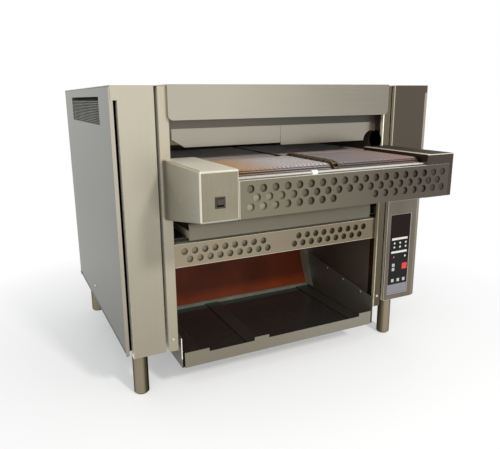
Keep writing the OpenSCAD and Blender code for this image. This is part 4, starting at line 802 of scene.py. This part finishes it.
# The chute is a curved stainless slide between two cheeks that hang on pins in the inner walls.
# The discharged food drops on it behind the broiling belts.
chute_steel = brushed_steel("chute_steel", (158, 160, 146), (118, 118, 106), 0.3, (9, 500, 300))
# Faces of the chute and its cheeks that look left are painted a pale, nearly matt grey, a painted light; the
# chute's bends are painted paler, a painted highlight.
cheek_painted_light = brushed_steel("cheek_painted_light", (206, 210, 188), (170, 174, 154), 0.4, (300, 300, 9), metallic=0.1)
chute = bent_sheet("discharge_chute", chute_steel, bend_finish=bend_highlight_steel)
refinish(chute, cheek_painted_light, to_left)

# The release sheet is glass cloth with a red-brown non-stick coat, hung over the face of the chute.
# It is cut to the chute's width, lies on its curve and stands off it a little in soft waves.
sheet_low_x = -0.3093
sheet_high_x = 0.2843
sheet_straight = 0.230
sheet_arc_radius = 0.4492
sheet_arc = 0.232
sheet_thickness = 0.0006
bend_centre_y = -0.2855
bend_centre_z = 0.330
wave_depth = 0.0007
waves_across = 17
waves_down = 9
bpy.ops.object.select_all(action="DESELECT")
bpy.ops.mesh.primitive_grid_add(x_subdivisions=40, y_subdivisions=36, size=1, location=(0, 0, 0))
release_sheet = bpy.context.object
release_sheet.name = "hung_release_sheet"
for corner in release_sheet.data.vertices:
    across = corner.co.x + 0.5
    down = (0.5 - corner.co.y) * (sheet_straight + sheet_arc)
    wave = wave_depth * (1 + sin(across * waves_across + down * waves_down)) * (0.3 + down * 1.4)
    x = sheet_low_x + across * (sheet_high_x - sheet_low_x)
    if down < sheet_straight:
        y = bend_centre_y + sheet_arc_radius - wave
        z = bend_centre_z + sheet_straight - down
    else:
        angle = (down - sheet_straight) / sheet_arc_radius
        y = bend_centre_y + (sheet_arc_radius - wave) * cos(angle)
        z = bend_centre_z - (sheet_arc_radius - wave) * sin(angle)
    corner.co = (x, y, z)
bpy.ops.object.mode_set(mode="EDIT")
bpy.ops.mesh.select_all(action="SELECT")
bpy.ops.mesh.normals_make_consistent(inside=False)
bpy.ops.object.mode_set(mode="OBJECT")
modify(release_sheet, "SOLIDIFY", thickness=sheet_thickness, offset=0)
bpy.ops.object.shade_smooth_by_angle(angle=radians(40))
coated_cloth = satin_paint("coated_cloth", (116, 46, 14), (86, 35, 12), 0.5, shine=0.25)
release_sheet.data.materials.append(coated_cloth)
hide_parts("release_sheet")
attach(release_sheet, "cabinet")

# The pan shelf is a wide plate with a tabbed lip in front, hung from two bolted side plates.
# The plate is dark, the faces of the side plates a mid grey.
# The lip is a paler steel, a little paler towards the right; the upper edges and the front edge
# of the left side plate are painted pale, a painted highlight.
shelf_steel = brushed_steel("shelf_steel", (58, 56, 53), (42, 40, 38), 0.24, (9, 300, 300), metallic=0.3)
lip_steel = brushed_steel("lip_steel", (140, 136, 123), (133, 126, 112), 0.3, (9, 500, 500),
                          fade=(x_axis, -0.2, 0.2))
strip_steel = brushed_steel("strip_steel", (76, 74, 66), (54, 52, 46), 0.3, (200, 9, 200), metallic=0.5)
upstand_steel = brushed_steel("upstand_steel", (140, 144, 128), (78, 78, 70), 0.4, (60, 60, 60), metallic=0.1,
                              smear=14)
plate_steel = brushed_steel("plate_steel", (122, 116, 104), (94, 89, 80), 0.4, (300, 9, 300), metallic=0.3)
shelf = bent_sheet("pan_shelf", shelf_steel)
strip_low_z = 0.0901
strip_high_z = 0.0936
behind_lip_y = -0.2535
lip_back_y = -0.2530
plate_low_z = 0.11
plate_high_z = 0.4
highlight_edge_z = 0.112
left_plate_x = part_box("pan_shelf")[0][0] + 0.004
refinish(shelf, strip_steel, y_from=behind_lip_y, z_from=strip_low_z, z_to=strip_high_z)
refinish(shelf, plate_steel, to_right, z_from=plate_low_z)
refinish(shelf, plate_steel, to_left, z_from=plate_low_z)
refinish(shelf, upstand_steel, to_front, y_from=0)
refinish(shelf, lip_steel, y_to=lip_back_y)
cut_round(shelf, z_axis, highlight_edge_z)
# Painted highlight on the left side plate's front edge and on the plates' upper edges.
refinish(shelf, painted_light_pale, to_front, with_edges, x_to=left_plate_x, z_from=highlight_edge_z)
refinish(shelf, plate_steel, to_front, with_edges, x_to=left_plate_x, z_to=highlight_edge_z)
refinish(shelf, bend_highlight_steel, upward, z_from=plate_low_z, z_to=plate_high_z)

# The control panel is a brown-grey bezel round a black membrane plate, with a tinted display above the keys.
# Two white bars are printed on the membrane, which ends in a pale strip below the keys.
# Lamps and keys are moulded.
bezel_paint = satin_paint("bezel_paint", (110, 103, 92), (92, 86, 76), 0.36, metallic=0.7)
# The bezel's bends are painted paler, a painted highlight.
bezel_edge_highlight = satin_paint("bezel_edge_highlight", (186, 168, 158), (160, 142, 134), 0.34, metallic=0.7)
keypad_film = satin_paint("keypad_film", (17, 16, 18), (25, 23, 25), 0.5, shine=0.15)
strip_film = satin_paint("strip_film", (119, 118, 127), (104, 103, 112), 0.5)
display_tint = satin_paint("display_tint", (28, 13, 12), (16, 11, 10), 0.42, shine=0.1)
lamp_plastic = satin_paint("lamp_plastic", (206, 208, 194), (180, 182, 168), 0.35)
red_lamp_plastic = satin_paint("red_lamp_plastic", (186, 72, 66), (150, 52, 48), 0.35)
bar_ink = satin_paint("bar_ink", (206, 207, 198), (186, 187, 177), 0.5)
key_white = satin_paint("key_white", (172, 173, 167), (150, 151, 145), 0.4)
key_red = satin_paint("key_red", (204, 62, 48), (168, 44, 36), 0.38)
strip_top_z = 0.201
red_lamp_x = 0.39
red_lamp_z = 0.295
bent_sheet("control_bezel", bezel_paint, bend=0.0015, bend_finish=bezel_edge_highlight)
keypad = bent_sheet("keypad_plate", keypad_film, bend=0.0006, burr=0.0003)
cut_round(keypad, z_axis, strip_top_z)
refinish(keypad, strip_film, to_front, z_to=strip_top_z)
bent_sheet("display_window", display_tint, bend=0.0004, burr=0.0002)
lamps = bent_sheet("indicator_lamps", lamp_plastic, bend=0, burr=0.0003)
refinish(lamps, red_lamp_plastic, x_to=red_lamp_x, z_to=red_lamp_z)
for key in ("up_key", "down_key", "stop_key", "left_lane_key", "both_lanes_key", "right_lane_key"):
    key_slot, key_finish = ("key_red", key_red) if key == "stop_key" else ("key_white", key_white)
    bent_sheet(key, key_finish, body=key, bend=0.0004, burr=0.0002)
keypad_face_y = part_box("keypad_plate")[0][1]
bar_middle_x = 0.397
bar_size = (0.062, 0.0068, 1)
bar_thickness = 0.0003
bar_edge = 0.0001
for bar_name, bar_z in (("upper_white_bar", 0.3495), ("lower_white_bar", 0.307)):
    bpy.ops.object.select_all(action="DESELECT")
    bpy.ops.mesh.primitive_plane_add(size=1, location=(bar_middle_x, keypad_face_y, bar_z),
                                     rotation=(pi / 2, 0, 0))
    bar = bpy.context.object
    bar.name = bar_name
    bar.scale = bar_size
    bpy.ops.object.transform_apply()
    bpy.ops.object.mode_set(mode="EDIT")
    push_out((0, -bar_thickness, 0))
    bpy.ops.mesh.bevel(offset=bar_edge, segments=1, affect="EDGES")
    bpy.ops.object.mode_set(mode="OBJECT")
    bar.data.materials.append(bar_ink)
    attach(bar, "cabinet")

# The control board stands behind the right cover on four spacers; the cable gland sits in the back panel.
# Board: glass-fibre laminate with a green mask. Gland: black rubber.
board_green = satin_paint("board_green", (38, 96, 58), (30, 78, 48), 0.45)
gland_rubber = satin_paint("gland_rubber", (32, 32, 32), (46, 45, 43), 0.6)
bent_sheet("control_board", board_green, bend=0.0005, burr=0.0002)
bent_sheet("cable_gland", gland_rubber, bend=0.001)

# The screws are slotted round heads of one size, turned and polished.
# They fix the posts, the side and back panels and the side plates of the shelf.
screw_steel = brushed_steel("screw_steel", (222, 218, 208), (180, 176, 166), 0.22, even_grain)
head_radius = 0.0045
head_height = 0.0024
head_crown = 0.0017
slot_size = (0.0011, 0.012, 0.0018)
bpy.ops.object.select_all(action="DESELECT")
bpy.ops.mesh.primitive_cylinder_add(vertices=20, radius=head_radius, depth=head_height,
                                    location=(0, 0, head_height / 2))
screw_head = bpy.context.object
bpy.ops.object.transform_apply()
bpy.ops.object.mode_set(mode="EDIT")
bpy.ops.mesh.select_mode(type="FACE")
bpy.ops.mesh.select_all(action="DESELECT")
head_shape = bmesh.from_edit_mesh(screw_head.data)
for face in head_shape.faces:
    face.select_set(face.normal.z > 0.9)
bmesh.update_edit_mesh(screw_head.data)
bpy.ops.mesh.region_to_loop()
bpy.ops.mesh.bevel(offset=head_crown, segments=4, affect="EDGES")
bpy.ops.object.mode_set(mode="OBJECT")
bpy.ops.mesh.primitive_cube_add(size=1, location=(0, 0, head_height))
slot_cutter = bpy.context.object
slot_cutter.scale = slot_size
bpy.ops.object.transform_apply()
take_up(screw_head)
modify(screw_head, "BOOLEAN", operation="DIFFERENCE", object=slot_cutter)
bpy.data.objects.remove(slot_cutter)
to_back = (0, 1, 0)
turn_per_screw = 0.7
left_post_screw_x = -0.3455
right_post_screw_x = 0.3205
post_screw_y = -0.2475
post_screw_z = 0.172
side_screw_x = 0.470
side_screw_y = 0.1485
side_screw_z = 0.209
back_screw_x = 0.463
back_screw_y = 0.4585
left_wall_x = -0.325
right_wall_x = 0.300
screw_places = [((left_post_screw_x, post_screw_y, post_screw_z), to_front),
                ((right_post_screw_x, post_screw_y, post_screw_z), to_front),
                ((-side_screw_x, side_screw_y, side_screw_z), to_left),
                ((side_screw_x, side_screw_y, side_screw_z), to_right)]
for back_z in (0.227, 0.377, 0.527, 0.677):
    screw_places += [((-back_screw_x, back_screw_y, back_z), to_back),
                     ((back_screw_x, back_screw_y, back_z), to_back)]
for bolt_y, bolt_z in ((-0.1915, 0.1709), (-0.1005, 0.1837), (-0.0095, 0.1964)):
    screw_places += [((left_wall_x, bolt_y, bolt_z), to_right), ((right_wall_x, bolt_y, bolt_z), to_left)]
bpy.ops.object.select_all(action="DESELECT")
for number, (screw_place, screw_axis) in enumerate(screw_places):
    head_mesh = screw_head.data.copy()
    facing = Vector(screw_axis).to_track_quat("Z", "Y").to_matrix().to_4x4()
    slot_turn = Matrix.Rotation(turn_per_screw * number, 4, "Z")
    head_mesh.transform(Matrix.Translation(screw_place) @ facing @ slot_turn)
    head_copy = bpy.data.objects.new("screw_heads", head_mesh)
    scene.collection.objects.link(head_copy)
    head_copy.select_set(True)
    bpy.context.view_layer.objects.active = head_copy
bpy.ops.object.join()
screw_heads = bpy.context.object
bpy.data.objects.remove(screw_head)
bpy.ops.object.shade_smooth_by_angle(angle=radians(40))
screw_heads.data.materials.clear()
screw_heads.data.materials.append(screw_steel)
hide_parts("screws")
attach(screw_heads, "cabinet")
